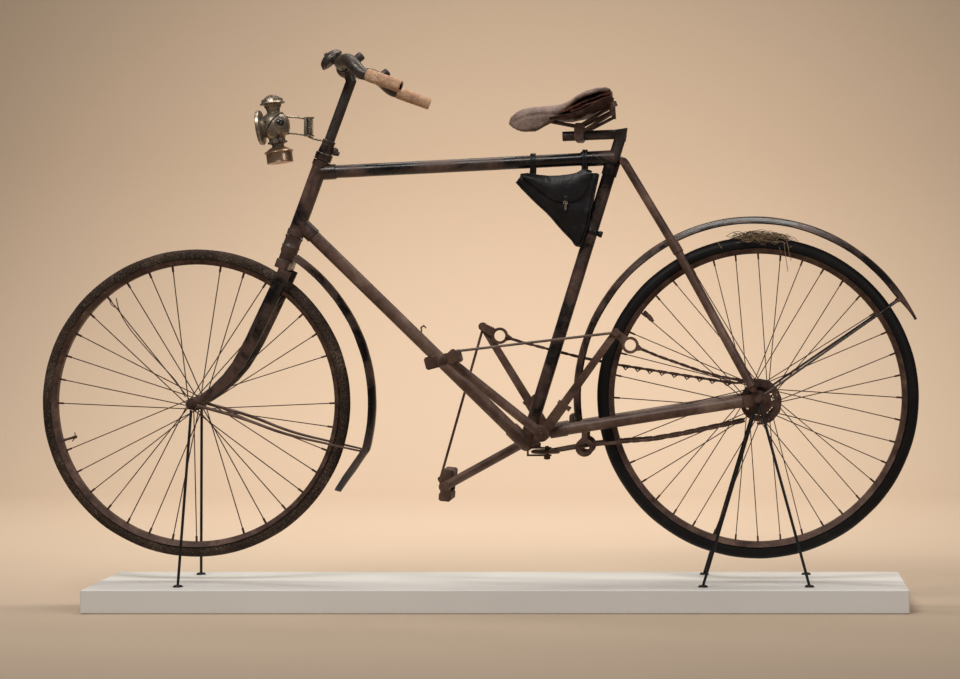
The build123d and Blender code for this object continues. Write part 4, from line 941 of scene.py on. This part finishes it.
# flared sleeve and ball-headed bolt that hold the stem
def makeStemSleeve():
    middle, up = steeringLine()
    bm = bmesh.new()
    lathe(bm, stemSleeve["rings"], middle, up, 40)
    x, z, r = stemSleeve["ball"]
    ball = [(-r * cos(radians(turn)), r * sin(radians(turn))) for turn in range(0, 181, 15)]
    lathe(bm, ball, (x, 0, z), (1, 0, 0.36), 24)
    piece("stemSleeve", bm, "steering", "worn_enamel", sharp=38)


def makeHeadset():
    middle, up = steeringLine()
    bm = bmesh.new()
    lathe(bm, headset, middle, up, 40)
    piece("headset", bm, "steering", "worn_enamel", "headset_nuts", sharp=35)


makeFork()
makeHeadset()
makeStemSleeve()
print("fork and headset ready")

# saddle: stretched hide on top, curled lower skirt, torn strips between them

saddle = {
    # x, crest height, edge height, half width, roundness of the section
    "stations": [(12.9, (1034, 1031, 2.5, 0.9)), (20, (1048, 1024, 12, 0.8)), (30, (1056.5, 1019, 19, 0.75)),
                 (47, (1064, 1014.5, 24, 0.7)), (72, (1068, 1017, 26, 0.65)), (94, (1069.5, 1030, 28, 0.7)),
                 (112, (1070, 1040, 33, 0.8)), (128, (1072.5, 1050, 40, 0.9)), (147, (1079, 1066, 54, 1.0)),
                 (163, (1090.5, 1079, 67, 1.1)), (182, (1100, 1088, 77, 1.2)), (205, (1105.6, 1094, 82, 1.3)),
                 (222, (1105.6, 1098, 83, 1.3)), (234, (1101, 1098, 80, 1.2))],
    "thickness": 5.0, "crease": 1.8, "swell": (3.2, 2.0, (0.8, 1.5, 2.0), 25),
    "foldLine": [(29, 1036), (48, 1045), (69, 1050), (110, 1051), (129, 1048)],
    "foldWidth": 5, "foldDepth": 3.2,
}
skirt = {
    # x, upper edge, lower edge, half width
    "stations": [(104, (1044, 1038.5, 30)), (126, (1048, 1041, 38)), (150, (1052, 1040, 52)),
                 (175, (1059, 1045, 64)), (198, (1069, 1052, 73)), (220, (1080, 1062, 78)),
                 (240, (1088, 1074, 79))],
    # thickness of the skirt, and from and to x of the painted shade sheets in the hollow under the top
    "thickness": 3.6, "shadeSpan": (112, 235),
}
# start, end and lift of each torn strip on the far side
saddleStrips = [((134, 44, 1056), (236, 72, 1094), 3), ((150, 50, 1054), (240, 70, 1087), 2),
                ((128, 36, 1054), (232, 62, 1080), 4), ((176, 60, 1074), (238, 60, 1091), 2)]


def makeSaddleTop():
    stations = saddle["stations"]
    first, last = stations[0][0], stations[-1][0]

    def shape(u, v):
        x = first + (last - first) * u ** 1.15
        crest, edge, half, roundness = along(stations, x)
        turn = (v - 0.5) * pi
        across = sin(turn)
        height = edge + (crest - edge) * max(cos(turn), 0.0) ** roundness
        tuck = 1 - 0.16 * smoothStep((abs(v - 0.5) - 0.38) / 0.12)
        fold = saddle["crease"] * max(0, 1 - abs(abs(v - 0.5) - 0.27) / 0.05)
        nose = smoothStep((x - 22) / 20) * (1 - smoothStep((x - 100) / 25))
        return Vector((x + 5 * (1 - abs(across)) * smoothStep((x - 215) / 20), across * half * tuck,
                       height - fold * nose))

    bm = bmesh.new()
    sheet(bm, 90, 44, shape, saddle["thickness"])
    made = piece("saddleLeather", bm, "root", "saddle_leather", "saddle_leather", sharp=60)
    swell(made, *saddle["swell"])
    ruffle(made, 22, 1.2, (4, 0, 1))
    press(made, saddle["foldLine"], saddle["foldWidth"], saddle["foldDepth"])
    ruffle(made, 7, 0.5, (0, 2, 5))


def makeSaddleSkirt():
    stations = skirt["stations"]
    first, last = stations[0][0], stations[-1][0]

    def shape(u, v):
        x = first + (last - first) * u
        upper, lower, half = along(stations, x)
        turn = (v - 0.5) * pi
        dip = cos(turn) ** 0.7 if cos(turn) > 0 else 0
        wave = 1.6 * sin(u * 11 + v * 5) * u
        return Vector((x + 3 * sin(v * 9), sin(turn) * half, upper - (upper - lower) * dip + wave))

    bm = bmesh.new()
    sheet(bm, 44, 30, shape, skirt["thickness"])
    made = piece("saddleSkirt", bm, "root", "dark_hide", sharp=60)
    ruffle(made, 14, 1.2, (7, 3, 1))


# painted shade: a near-black sheet on each side, put in the hollow between the stretched top and the skirt
def makeSaddleHollowShade():
    stations = skirt["stations"]
    bm = bmesh.new()
    for side in (-1, 1):
        def shape(u, v):
            x = skirt["shadeSpan"][0] + (skirt["shadeSpan"][1] - skirt["shadeSpan"][0]) * u
            edge, half = along(saddle["stations"], x)[1:3]
            lower = along(stations, x)[1]
            z = lower + 3 + (edge + 2 - lower) * v
            return Vector((x, side * (half * 0.62 + 2 * sin(u * 15) * v), z))
        sheet(bm, 30, 8, shape, 1.0)
    piece("saddleHollowShade", bm, "root", "deep_black", sharp=60)


def makeSaddleStrips():
    bm = bmesh.new()
    for side in (-1, 1):
        for n, (start, end, lift) in enumerate(saddleStrips):
            def shape(u, v, start=start, end=end, lift=lift, n=n):
                mid = Vector(mirrored(start, side)).lerp(Vector(mirrored(end, side)), u)
                mid.z += lift * sin(pi * u) + 0.8 * sin(u * 17 + n)
                mid.z += (v - 0.5) * (3.4 - n * 0.4)
                mid.y += side * (v - 0.5) * 1.6 * sin(u * 7 + n)
                return mid
            sheet(bm, 26, 3, shape, 1.2)
    piece("saddleStrips", bm, "root", "torn_hide", sharp=60)


makeSaddleTop()
makeSaddleSkirt()
makeSaddleHollowShade()
makeSaddleStrips()
print("saddle ready")

# tool bag: limp wedge of hide with a flap, clasp and straps

bagTop = [(40, 920.5), (56, 923), (79, 919.5), (104, 917.5), (126, 918), (146, 920.5), (160.5, 924),
          (172, 930), (179, 932.5), (188, 929), (196, 926.5)]
bag = {
    # outline of the side panel, clockwise from the top left, in mm
    "outline": bagTop + [(208, 926), (205, 910), (200, 888), (193, 850), (187, 816), (177, 786), (166, 766),
                         (150, 781), (126, 806), (100, 836), (72, 862), (46, 888), (28.5, 907)],
    "half": 21.5, "edge": 0.78, "swell": (3.6, 2.0, (0.8, 2.2, 0.8), 12),
    "flap": [(40.9, 921), (54, 911), (67.5, 901.5), (85, 887), (102.3, 873.5), (115, 867), (128, 864),
             (148.6, 864.5), (160, 867.5), (169.5, 873.5), (183.4, 892), (190, 908), (194, 924)],
    # how far the flap stands out at its edge and more at its middle, and how far its top rolls in
    "flapOut": 3.6, "flapBulge": 2.6, "flapRoll": 7,
    # share of the outline and of the half width where the welt runs, and its radius
    "welt": (0.972, 0.80, 2.0),
    "clasp": (138.2, 868, 847), "claspOut": 7.4,
}


# point of a fan from the outline's middle, u round the outline and v from the middle out
def panelPoint(outline, u, v):
    where = u * len(outline)
    n = int(where) % len(outline)
    a, b = outline[n], outline[(n + 1) % len(outline)]
    share = where - int(where)
    x, z = a[0] + (b[0] - a[0]) * share, a[1] + (b[1] - a[1]) * share
    cx = sum(p[0] for p in outline) / len(outline)
    cz = sum(p[1] for p in outline) / len(outline)
    return cx + (x - cx) * v, cz + (z - cz) * v


def makeBag():
    bm = bmesh.new()
    around = len(bag["outline"]) * 4
    for side in (-1, 1):
        def shape(u, v):
            x, z = panelPoint(bag["outline"], u % 1.0, max(v, 0.001))
            plump = (1 - v ** 3) * (1 - bag["edge"]) + bag["edge"]
            return Vector((x, side * bag["half"] * plump, z))
        sheet(bm, around, 10, shape)

    def gusset(u, v):
        x, z = panelPoint(bag["outline"], u % 1.0, 1.0)
        inward = 1 - 0.05 * sin(pi * v)
        cx, cz = panelPoint(bag["outline"], 0, 0)
        y = (2 * v - 1) * bag["half"] * bag["edge"]
        return Vector((cx + (x - cx) * inward, y, cz + (z - cz) * inward))

    sheet(bm, around, 8, gusset)
    made = piece("bagBody", bm, "root", "bag_leather", "tool_bag", sharp=60)
    swell(made, *bag["swell"])
    ruffle(made, 26, 2.2, (2, 6, 1))
    ruffle(made, 8, 0.6, (5, 2, 3))


# flap over the near side, from the bag's top to its own lower edge
def makeFlap():
    flap = bag["flap"]

    def shape(u, v):
        x, z = partWay(flap, u)[1]
        topX = flap[0][0] + (flap[-1][0] - flap[0][0]) * u
        topZ = along(bagTop, topX)
        bulge = bag["flapOut"] + bag["flapBulge"] * sin(pi * min(v, 1)) * sin(pi * u)
        roll = bag["flapRoll"] * (1 - v) ** 4
        return Vector((topX + (x - topX) * v, roll - bag["half"] - bulge,
                       topZ + (z - topZ) * v + 1.5 * (1 - v) ** 3))

    bm = bmesh.new()
    sheet(bm, 60, 24, shape, 2.0)
    made = piece("bagFlap", bm, "root", "bag_leather", sharp=60)
    ruffle(made, 24, 0.9, (1, 1, 8))
    ruffle(made, 7, 0.3, (4, 1, 8))


def makeBagTrim():
    bm = bmesh.new()
    half = bag["half"]
    outline = bag["outline"]
    cx, cz = panelPoint(outline, 0, 0)
    share, wide, radius = bag["welt"]
    for side in (-1, 1):
        rim = [(cx + (x - cx) * share, side * half * wide, cz + (z - cz) * share) for x, z in outline[11:24]]
        tube(bm, rim, radius, sides=3)
    x, high, low = bag["clasp"]
    y = -half - bag["claspOut"]
    button = [(-1.4, 0), (-1.4, 5.6), (-0.4, 6.2), (0.8, 5.4), (1.5, 3), (1.7, 0)]
    lathe(bm, button, (x + 1, y, high + 3), (0, -1, 0), 24)
    piece("bagWelt", bm, "root", "bag_leather", sharp=60)
    bm = bmesh.new()

    def tongue(u, v):
        return Vector((x + (v - 0.5) * (6.6 - 2.4 * u), y - 0.6 + 1.2 * u, high + 4 - (high - low + 6) * u))

    sheet(bm, 10, 4, tongue, 1.6)
    corners = [(-4.4, -4), (4.4, -4), (4.4, -9), (-4.4, -9), (-4.4, -4)]
    tube(bm, [(x + a, y - 1.4, high + b) for a, b in corners], 0.8, sides=3, handles="VECTOR")
    lathe(bm, [(-1, 0), (-1, 2.6), (0.6, 2.2), (1.2, 0)], (x, y - 1.0, low + 1.5), (0, -1, 0), 16)
    piece("bagClasp", bm, "root", "old_brass", sharp=40)


bagStraps = {
    # place along the top tube, the tube's radius there and the height of the strap's foot, front then rear
    "at": (66.4, 178.0), "tube": (16.4, 18.9), "foot": (916, 926),
    "width": 4.4, "gap": 2.9, "wall": 1.8, "chape": 19,
    # ends of the top tube's middle line
    "topTube": ((-395.8, 927.3), (242.7, 959.5)),
}


def makeBagStraps():
    bm = bmesh.new()
    (frontX, frontZ), (rearX, rearZ) = bagStraps["topTube"]
    for x, radius, foot in zip(bagStraps["at"], bagStraps["tube"], bagStraps["foot"]):
        z = frontZ + (rearZ - frontZ) * (x - frontX) / (rearX - frontX)
        for shift in (-bagStraps["gap"], bagStraps["gap"]):
            def shape(u, v, shift=shift):
                spread = 1.0
                if 0.25 < u < 0.75:
                    turn = (u - 0.5) * 2 * pi
                    y, height = sin(turn) * radius, z + cos(turn) * radius
                else:
                    down = (0.25 - u if u < 0.5 else u - 0.75) / 0.25
                    y = (-1 if u < 0.5 else 1) * (radius - 5 * smoothStep(down))
                    height = z + (foot - z) * down
                    spread = 1 + 0.45 * down ** 2
                wave = 0.5 * sin(u * 21 + shift)
                wide = bagStraps["width"] * (0.6 + 0.4 * spread)
                return Vector((x + shift * spread + wave + (v - 0.5) * wide, y, height))
            sheet(bm, 72, 3, shape, bagStraps["wall"])

        def chape(u, v):
            wide = bagStraps["chape"] * (0.45 + 0.55 * v) / 2
            return Vector((x + (2 * u - 1) * wide, -18 - 2.5 * v - 1.5 * sin(pi * u), foot + 8 - 15 * v))

        sheet(bm, 10, 8, chape, 2.0)
        nut(bm, (x, -radius - 0.4, z - 6), (0, 1, 0), 5, 2, 12)
    piece("bagStraps", bm, "root", "bag_leather", "bag_straps", sharp=50)


seatStrap = {"low": (51.6, 344.9), "high": (242.7, 957), "height": 800, "radius": 15.6, "width": 11}


# strap and buckle that tie the bag's point to the seat tube
def makeSeatTubeStrap():
    low, high = flat(seatStrap["low"]), flat(seatStrap["high"])
    run = (high - low).normalized()
    centre = low + (high - low) * (seatStrap["height"] - low.z) / (high.z - low.z)
    r, w = seatStrap["radius"], seatStrap["width"] / 2
    bm = bmesh.new()
    lathe(bm, [(-w, 14.2), (-w, r), (-w + 1, r + 0.6), (w - 1, r + 0.6), (w, r), (w, 14.2)], centre, run, 36)
    rear = Vector((run.z, 0, -run.x))
    lathe(bm, [(-4, 0), (-4, 6), (-2.5, 7), (3, 7), (4, 6), (4, 0)], centre + rear * (r + 3), rear, 20)
    piece("bagTie", bm, "root", "bag_leather", sharp=45)


makeBag()
makeFlap()
makeBagTrim()
makeBagStraps()
makeSeatTubeStrap()
print("tool bag ready")

# lamp

lamp = {
    "centre": (-487.8, 1027.9), "droop": 7.7, "bezel": 37.6, "bezelDepth": 11, "doorFrom": 26,
    "body": [(-23.5, 19.5), (-20, 25.5), (-15, 28.6), (-8, 30.8), (0, 31.4), (8, 30.8), (15, 28.2),
             (20, 24.6), (24.5, 19.6), (27.5, 15.6), (29.4, 13.8)],
    "neck": [(29.4, 13.8), (33, 14.0), (38, 15.6), (44, 18.6), (46, 19.6), (46.6, 24.6), (47.4, 26.6),
             (49, 26.8), (50, 25.6), (51.4, 23.8), (53.6, 23.2), (57.6, 21.4), (58.6, 18.8), (60.4, 16.4),
             (62.6, 12.8), (64.6, 10.4), (66, 7.8), (67, 4), (67.3, 0)],
    "waist": [(-23.5, 19.5), (-27.6, 17.2), (-33.6, 17.6), (-34.6, 20.6), (-37.6, 20.9), (-38.6, 18.8),
              (-40.6, 13.2), (-44, 12.8), (-46, 14)],
    "tank": [(-46, 14), (-48, 18.6), (-52.6, 25), (-55.4, 30.2), (-56.8, 31), (-58.6, 30.2), (-59.4, 28.4),
             (-62, 27.9), (-77, 27.7), (-78.6, 28.2), (-80.4, 27.6), (-81, 25), (-81, 0)],
    "side": 31.6, "jewel": 8.4, "jewelAt": (15.2, 5.2), "ventAt": (-16.7, 6.6),
    # ring round the side door, and the seam just inside it, drawn as a near-black ring of painted shade
    "doorRim": {"normal": (-0.81, 0.11, 0.58), "offset": 4.5, "reach": 31.8, "wire": 1.6},
    "doorSeamShade": {"offset": 2.2, "radius": 31.3, "wire": 0.8},
    # height, ring radius, hole radius, count and tilt of each ring of holes, drawn as near-black discs of
    # painted shade
    "holes": [(55.4, 22.2, 2.0, 14, 0.3), (41.4, 17.3, 1.5, 18, 0.35), (61.6, 14.6, 1.3, 12, 0.9),
              (-36.2, 20.8, 1.5, 18, 0.0)],
}


def lampFrame():
    droop = radians(lamp["droop"])
    up = Vector((-sin(droop), 0, cos(droop)))
    front = Vector((-cos(droop), 0, -sin(droop)))
    return flat(lamp["centre"]), up, front


# point on the lamp's round side, from its place in side view
def sideSpot(spot, side, sink=0.0):
    reach = ((lamp["side"] - sink) ** 2 - spot[0] ** 2 - spot[1] ** 2) ** 0.5
    offset = flat(spot, side * reach)
    return flat(lamp["centre"]) + offset, offset.normalized()


def makeLampShell():
    middle, up, front = lampFrame()
    bm = bmesh.new()
    for part in ("body", "neck", "waist"):
        lathe(bm, lamp[part], middle, up, 56)
    lathe(bm, [(18, 22), (24, 24), (26.5, 28)], middle, front, 56)
    j = lamp["jewel"]
    for side in (-1, 1):
        spot, out = sideSpot(lamp["jewelAt"], side)
        lathe(bm, [(-4, j + 2.6), (0.6, j + 2.4), (1.8, j + 1.4), (2.2, j)], spot, out, 32)
    rim = lamp["doorRim"]
    radius = (rim["reach"] ** 2 - rim["offset"] ** 2) ** 0.5
    lathe(bm, ringSection(rim["offset"], radius, rim["wire"]), middle, rim["normal"], 64)
    piece("lampShell", bm, "steering", "old_brass", "lamp_body", sharp=32)


def makeLampTank():
    middle, up = lampFrame()[:2]
    bm = bmesh.new()
    lathe(bm, lamp["tank"], middle, up, 56)
    piece("lampTank", bm, "steering", "copper_tank", sharp=32)


# painted shade: near-black discs for the rings of holes and for a vent on each side, and a near-black ring
# for the seam inside the side door's rim
def makeLampHoleShade():
    middle, up, front = lampFrame()
    across = Vector((0, 1, 0))
    bm = bmesh.new()
    for height, radius, size, count, lift in lamp["holes"]:
        for n in range(count):
            turn = 2 * pi * (n + 0.5) / count
            away = front * cos(turn) + across * sin(turn)
            lathe(bm, [(-0.6, size), (0.35, size * 0.9), (0.35, 0)], middle + up * height + away * radius,
                  away + up * lift, 10)
    seam, normal = lamp["doorSeamShade"], lamp["doorRim"]["normal"]
    lathe(bm, ringSection(seam["offset"], seam["radius"], seam["wire"]), middle, normal, 64)
    for side in (-1, 1):
        spot, out = sideSpot(lamp["ventAt"], side, 0.1)
        lathe(bm, [(-0.5, 2.6), (0.45, 2.3), (0.45, 0)], spot, out, 14)
    piece("lampHoleShade", bm, "steering", "deep_black", sharp=60)


def makeLampDoor():
    middle, up, front = lampFrame()
    r, base = lamp["bezel"], lamp["doorFrom"]
    tip = base + lamp["bezelDepth"]
    bm = bmesh.new()
    lathe(bm, [(base, 0), (base, 24), (base + 0.4, r - 5), (base + 1.4, r - 2), (base + 3, r - 0.4),
               (base + 5, r), (tip - 1.6, r - 0.6), (tip - 0.2, r - 2), (tip, r - 3.4),
               (tip - 0.8, r - 5.2), (tip - 3.2, r - 6.4), (tip - 4.2, 0)], middle, front, 64)
    piece("lampDoor", bm, "steering", "old_brass", "lamp_front", sharp=32)
    bm = bmesh.new()
    glass = [(tip - 4.1, r - 6), (tip - 2.6, r - 10), (tip - 1.2, r - 18), (tip - 0.6, 0)]
    lathe(bm, glass, middle, front, 48)
    piece("lampGlass", bm, "steering", "lamp_glass", sharp=60)


def makeLampJewels():
    bm = bmesh.new()
    j = lamp["jewel"]
    for side in (-1, 1):
        spot, out = sideSpot(lamp["jewelAt"], side)
        lathe(bm, [(1.6, j), (3.4, j * 0.86), (4.8, j * 0.5), (5.4, 0)], spot, out, 24)
    piece("lampJewels", bm, "steering", "dark_jewel", sharp=60)


bracket = {
    "rods": (((-462.5, 1047.6), (-424, 1043.6)), ((-460.5, 1012), (-424, 1008))),
    # x, z, depth, width and height
    "plate": (-421.5, 1025.8, 7, 20, 40),
    # x, radius, wire radius, turns, and how far from the middle plane
    "coil": (-412.6, 4.6, 1.15, 9, 5),
    "stay": ((-419, 1006), (-379, 995)), "rod": 2.3,
    # width and height of the nuts on the rods and of the round caps on the coils
    "nut": (7, 3.4), "cap": (21, 2.6),
}


def makeBracket():
    bm = bmesh.new()
    for start, end in bracket["rods"]:
        halfway = (flat(start) + flat(end)) / 2 + Vector((0, 0, 0.8))
        tube(bm, [flat(start), halfway, flat(end)], bracket["rod"], sides=4)
        for spot in (start, end):
            nut(bm, flat(spot), (1, 0, -0.1), *bracket["nut"])
    x, z, deep, wide, tall = bracket["plate"]
    size = Matrix.Diagonal((deep * mm, wide * mm, tall * mm, 1))
    made = bmesh.ops.create_cube(bm, size=1.0, matrix=Matrix.Translation(place(x, 0, z)) @ size)["verts"]
    roundEdges(bm, made, 1.4)
    coilX, radius, wire, turns, apart = bracket["coil"]
    for y in (-apart, apart):
        points = [(coilX + radius * cos(n * pi / 3), y + radius * 0.8 * sin(n * pi / 3),
                   z - tall * 0.42 + tall * 0.84 * n / (turns * 6)) for n in range(turns * 6 + 1)]
        tube(bm, points, wire, sides=2)
        tube(bm, [(coilX, y, z - tall / 2), (coilX, y, z + tall / 2)], 1.6, sides=3, handles="VECTOR")
    for height in (-1, 1):
        nut(bm, (coilX - 2, 0, z + height * (tall / 2 - 0.6)), (0, 0, 1), *bracket["cap"], 12)
    (x1, z1), (x2, z2) = bracket["stay"]
    tube(bm, [(x1, 0, z1), (x1 + 12, 0, z1 - 5.5), (x2, 0, z2)], bracket["rod"], sides=4)
    piece("lampBracket", bm, "steering", "old_brass", "lamp_bracket", sharp=40)


makeLampShell()
makeLampTank()
makeLampHoleShade()
makeLampDoor()
makeLampJewels()
makeBracket()
print("lamp ready")

# small fittings: chain pins, nuts, valves and a broken spoke

chains = {
    "plane": 44, "width": 9, "pitch": 27, "pin": 2.2, "head": 1.1,
    "runs": {
        -1: [(298.4, 550), (336.3, 534.1), (427, 502.2), (470.8, 490), (512.4, 482.7)],
        1: [(4.3, 572.1), (40.4, 561.4), (90.7, 548), (166.4, 528.7), (251, 512), (355.8, 495.4),
            (465.5, 477.9), (502.9, 473)],
    },
    "lower": [(519.9, 395.2), (387.7, 366.6), (324, 355.4), (255.6, 350.5), (190, 344)],
    "drum": {"centre": (552.5, 435.2), "radius": 43.8, "angles": {-1: 85, 1: 97}},
}


def addPin(bm, x, z, side):
    half = chains["width"] / 2
    r, h = chains["pin"], chains["head"]
    lathe(bm, [(-half - h, 0), (-half - h, r * 0.7), (-half - h * 0.4, r), (half + h * 0.4, r),
               (half + h, r * 0.7), (half + h, 0)], (x, side * chains["plane"], z), (0, 1, 0), 10)


def pinsAlong(bm, run, side):
    for start, end in zip(run, run[1:]):
        step = Vector(end) - Vector(start)
        count = max(1, round(step.length / chains["pitch"]))
        for n in range(count):
            addPin(bm, start[0] + step.x * n / count, start[1] + step.y * n / count, side)


def makeChainPins():
    bm = bmesh.new()
    drum = chains["drum"]
    for side, run in chains["runs"].items():
        pinsAlong(bm, run, side)
        for n in range(6):
            spot = flat(drum["centre"]) + facing(drum["angles"][side] - n * 36) * drum["radius"]
            addPin(bm, spot.x, spot.z, side)
        pinsAlong(bm, chains["lower"], side)
    piece("chainPins", bm, "root", "rusty_steel", sharp=50)


valves = {
    # angle, distances from the hub of the stem's foot and of the wire twisted round it
    "front": (195.6, 298, 272),
    # ends of the stem, from the hub, in side view
    "rear": ((-242.3, 182.8), (-226.4, 164.5)),
}


def makeValves():
    bm = bmesh.new()
    turn, foot, twist = valves["front"]
    out = facing(turn)
    lathe(bm, [(0, 0), (0, 3.4), (5, 3.4), (6, 2.6), (21, 2.6), (22, 3.6), (29, 3.4), (31, 2.4), (31, 0)],
          Vector(frontHub) + out * foot, -out, 16)
    bends = [(0, -1, 10), (2, -4, 4), (0, -4, -3), (-5, -2, -9)]
    tube(bm, [Vector(frontHub) + out * twist + Vector(bend) for bend in bends], 1.1, sides=2)
    piece("frontValve", bm, "front_wheel", "rusty_steel", sharp=50)
    bm = bmesh.new()
    top, low = [flat(spot) for spot in valves["rear"]]
    lathe(bm, [(-4, 0), (-4, 3.6), (2, 4.2), (8, 4.4), (9, 5.2), (20, 5.0), (22, 3.6), (26, 3.2), (26, 0)],
          Vector(rearHub) + top, low - top, 16)
    piece("rearValve", bm, "rear_wheel", "rusty_steel", sharp=50)


driveCaps = {
    "pivot": (91.2, 369.8), "shaftFace": 88.5, "pedalFace": 185.6,
    # side, and the pedal's middle in side view
    "left": (-1, (-108.9, 529.5)), "right": (1, (-132.9, 246.1)),
}


# rounded caps on the pedal spindles and the nuts on the lever shaft
def makeDriveCaps():
    bm = bmesh.new()
    for name in ("left", "right"):
        side, pedal = driveCaps[name]
        lathe(bm, [(0, 8.1), (0, 10.4), (1, 11.2), (4, 11.2), (5, 10), (5, 6.4), (7, 6), (8.4, 4), (8.8, 0)],
              flat(driveCaps["pivot"], side * driveCaps["shaftFace"]), (0, side, 0), 24)
        cap = bmesh.new()
        lathe(cap, [(-3, 0), (-3, 11), (-2, 12.2), (0.6, 12.2), (2.6, 11), (4.6, 8.4), (5.8, 4.6), (6.2, 0)],
              flat(pedal, side * driveCaps["pedalFace"]), (0, side, 0), 28)
        piece(name + "PedalCap", cap, name + "_pedal", "rusty_steel", sharp=50)
    piece("shaftNuts", bm, "root", "rusty_steel", sharp=45)


brokenSpoke = {
    # out from the hub, sideways and across, of the loose spoke and of the hooked end tangled with it
    "angle": 128, "radius": 1.1, "hookRadius": 1.0,
    "line": [(284, -3, -2), (262, 6, -6), (225, 12, -10), (170, 11, -13), (110, 6, -17), (60, 2, -20),
             (22, 6, -24)],
    "hook": [(262, 6, -6), (276, 12, -8), (286, 11, -8)],
}


def makeBrokenSpoke():
    bm = bmesh.new()
    out = facing(brokenSpoke["angle"])
    side = Vector((-out.z, 0, out.x))
    for line, radius in (("line", "radius"), ("hook", "hookRadius")):
        points = [Vector(frontHub) + out * a + side * b + Vector((0, c, 0)) for a, b, c in brokenSpoke[line]]
        tube(bm, points, brokenSpoke[radius], sides=2)
    piece("brokenSpoke", bm, "front_wheel", "rusty_steel", sharp=60)


makeChainPins()
makeValves()
makeBrokenSpoke()
makeDriveCaps()
print("small fittings ready")

# straw caught on the rear tyre

straw = {
    # angles in degrees round the wheel; the rest in mm
    "radius": 346, "from": 98, "to": 79, "count": 230, "seed": 7, "lift": 9, "across": 19, "half": (8, 34),
    "thickness": (0.35, 0.9),
    # place along the tyre and drop of each stalk that hangs down
    "hanging": [(24, 66), (27, 42), (18, 28), (-38, 14)],
}


def makeStraw():
    dice = random.Random(straw["seed"])
    bm = bmesh.new()
    hub = Vector(rearHub)
    for n in range(straw["count"]):
        out = facing(straw["to"] + (straw["from"] - straw["to"]) * dice.betavariate(1.6, 1.5))
        forward = Vector((-out.z, 0, out.x))
        lift = dice.uniform(-straw["lift"], straw["lift"])
        across = dice.uniform(-straw["across"], straw["across"])
        middle = hub + out * (straw["radius"] + lift - abs(across) * 0.25) + Vector((0, across, 0))
        aim = (forward * dice.uniform(0.6, 1) * dice.choice((-1, 1)) + out * dice.uniform(-0.28, 0.22)
               + Vector((0, dice.uniform(-0.5, 0.5), 0))).normalized()
        half = dice.uniform(*straw["half"])
        bend = out * dice.uniform(-6, 5)
        curl = (out * dice.uniform(-7, 7) + Vector((0, dice.uniform(-5, 5), 0)), out * dice.uniform(-9, 9))
        ends = [middle - aim * half, middle - aim * half * 0.4 + curl[0], middle + bend,
                middle + aim * half * 0.5 + curl[1], middle + aim * half]
        tube(bm, ends, dice.uniform(*straw["thickness"]), sides=1)
    for reach, drop in straw["hanging"]:
        start = Vector((sin(radians(reach * 0.4)) * 330, dice.uniform(-12, -20),
                        340 - abs(reach) * 0.15)) + hub
        tube(bm, [start, start + Vector((4, -3, -drop * 0.5)), start + Vector((9, -2, -drop))], 0.7, sides=1)
    piece("strawTuft", bm, "rear_wheel", "straw", sharp=80)


makeStraw()
print("straw ready")

print("scene complete")
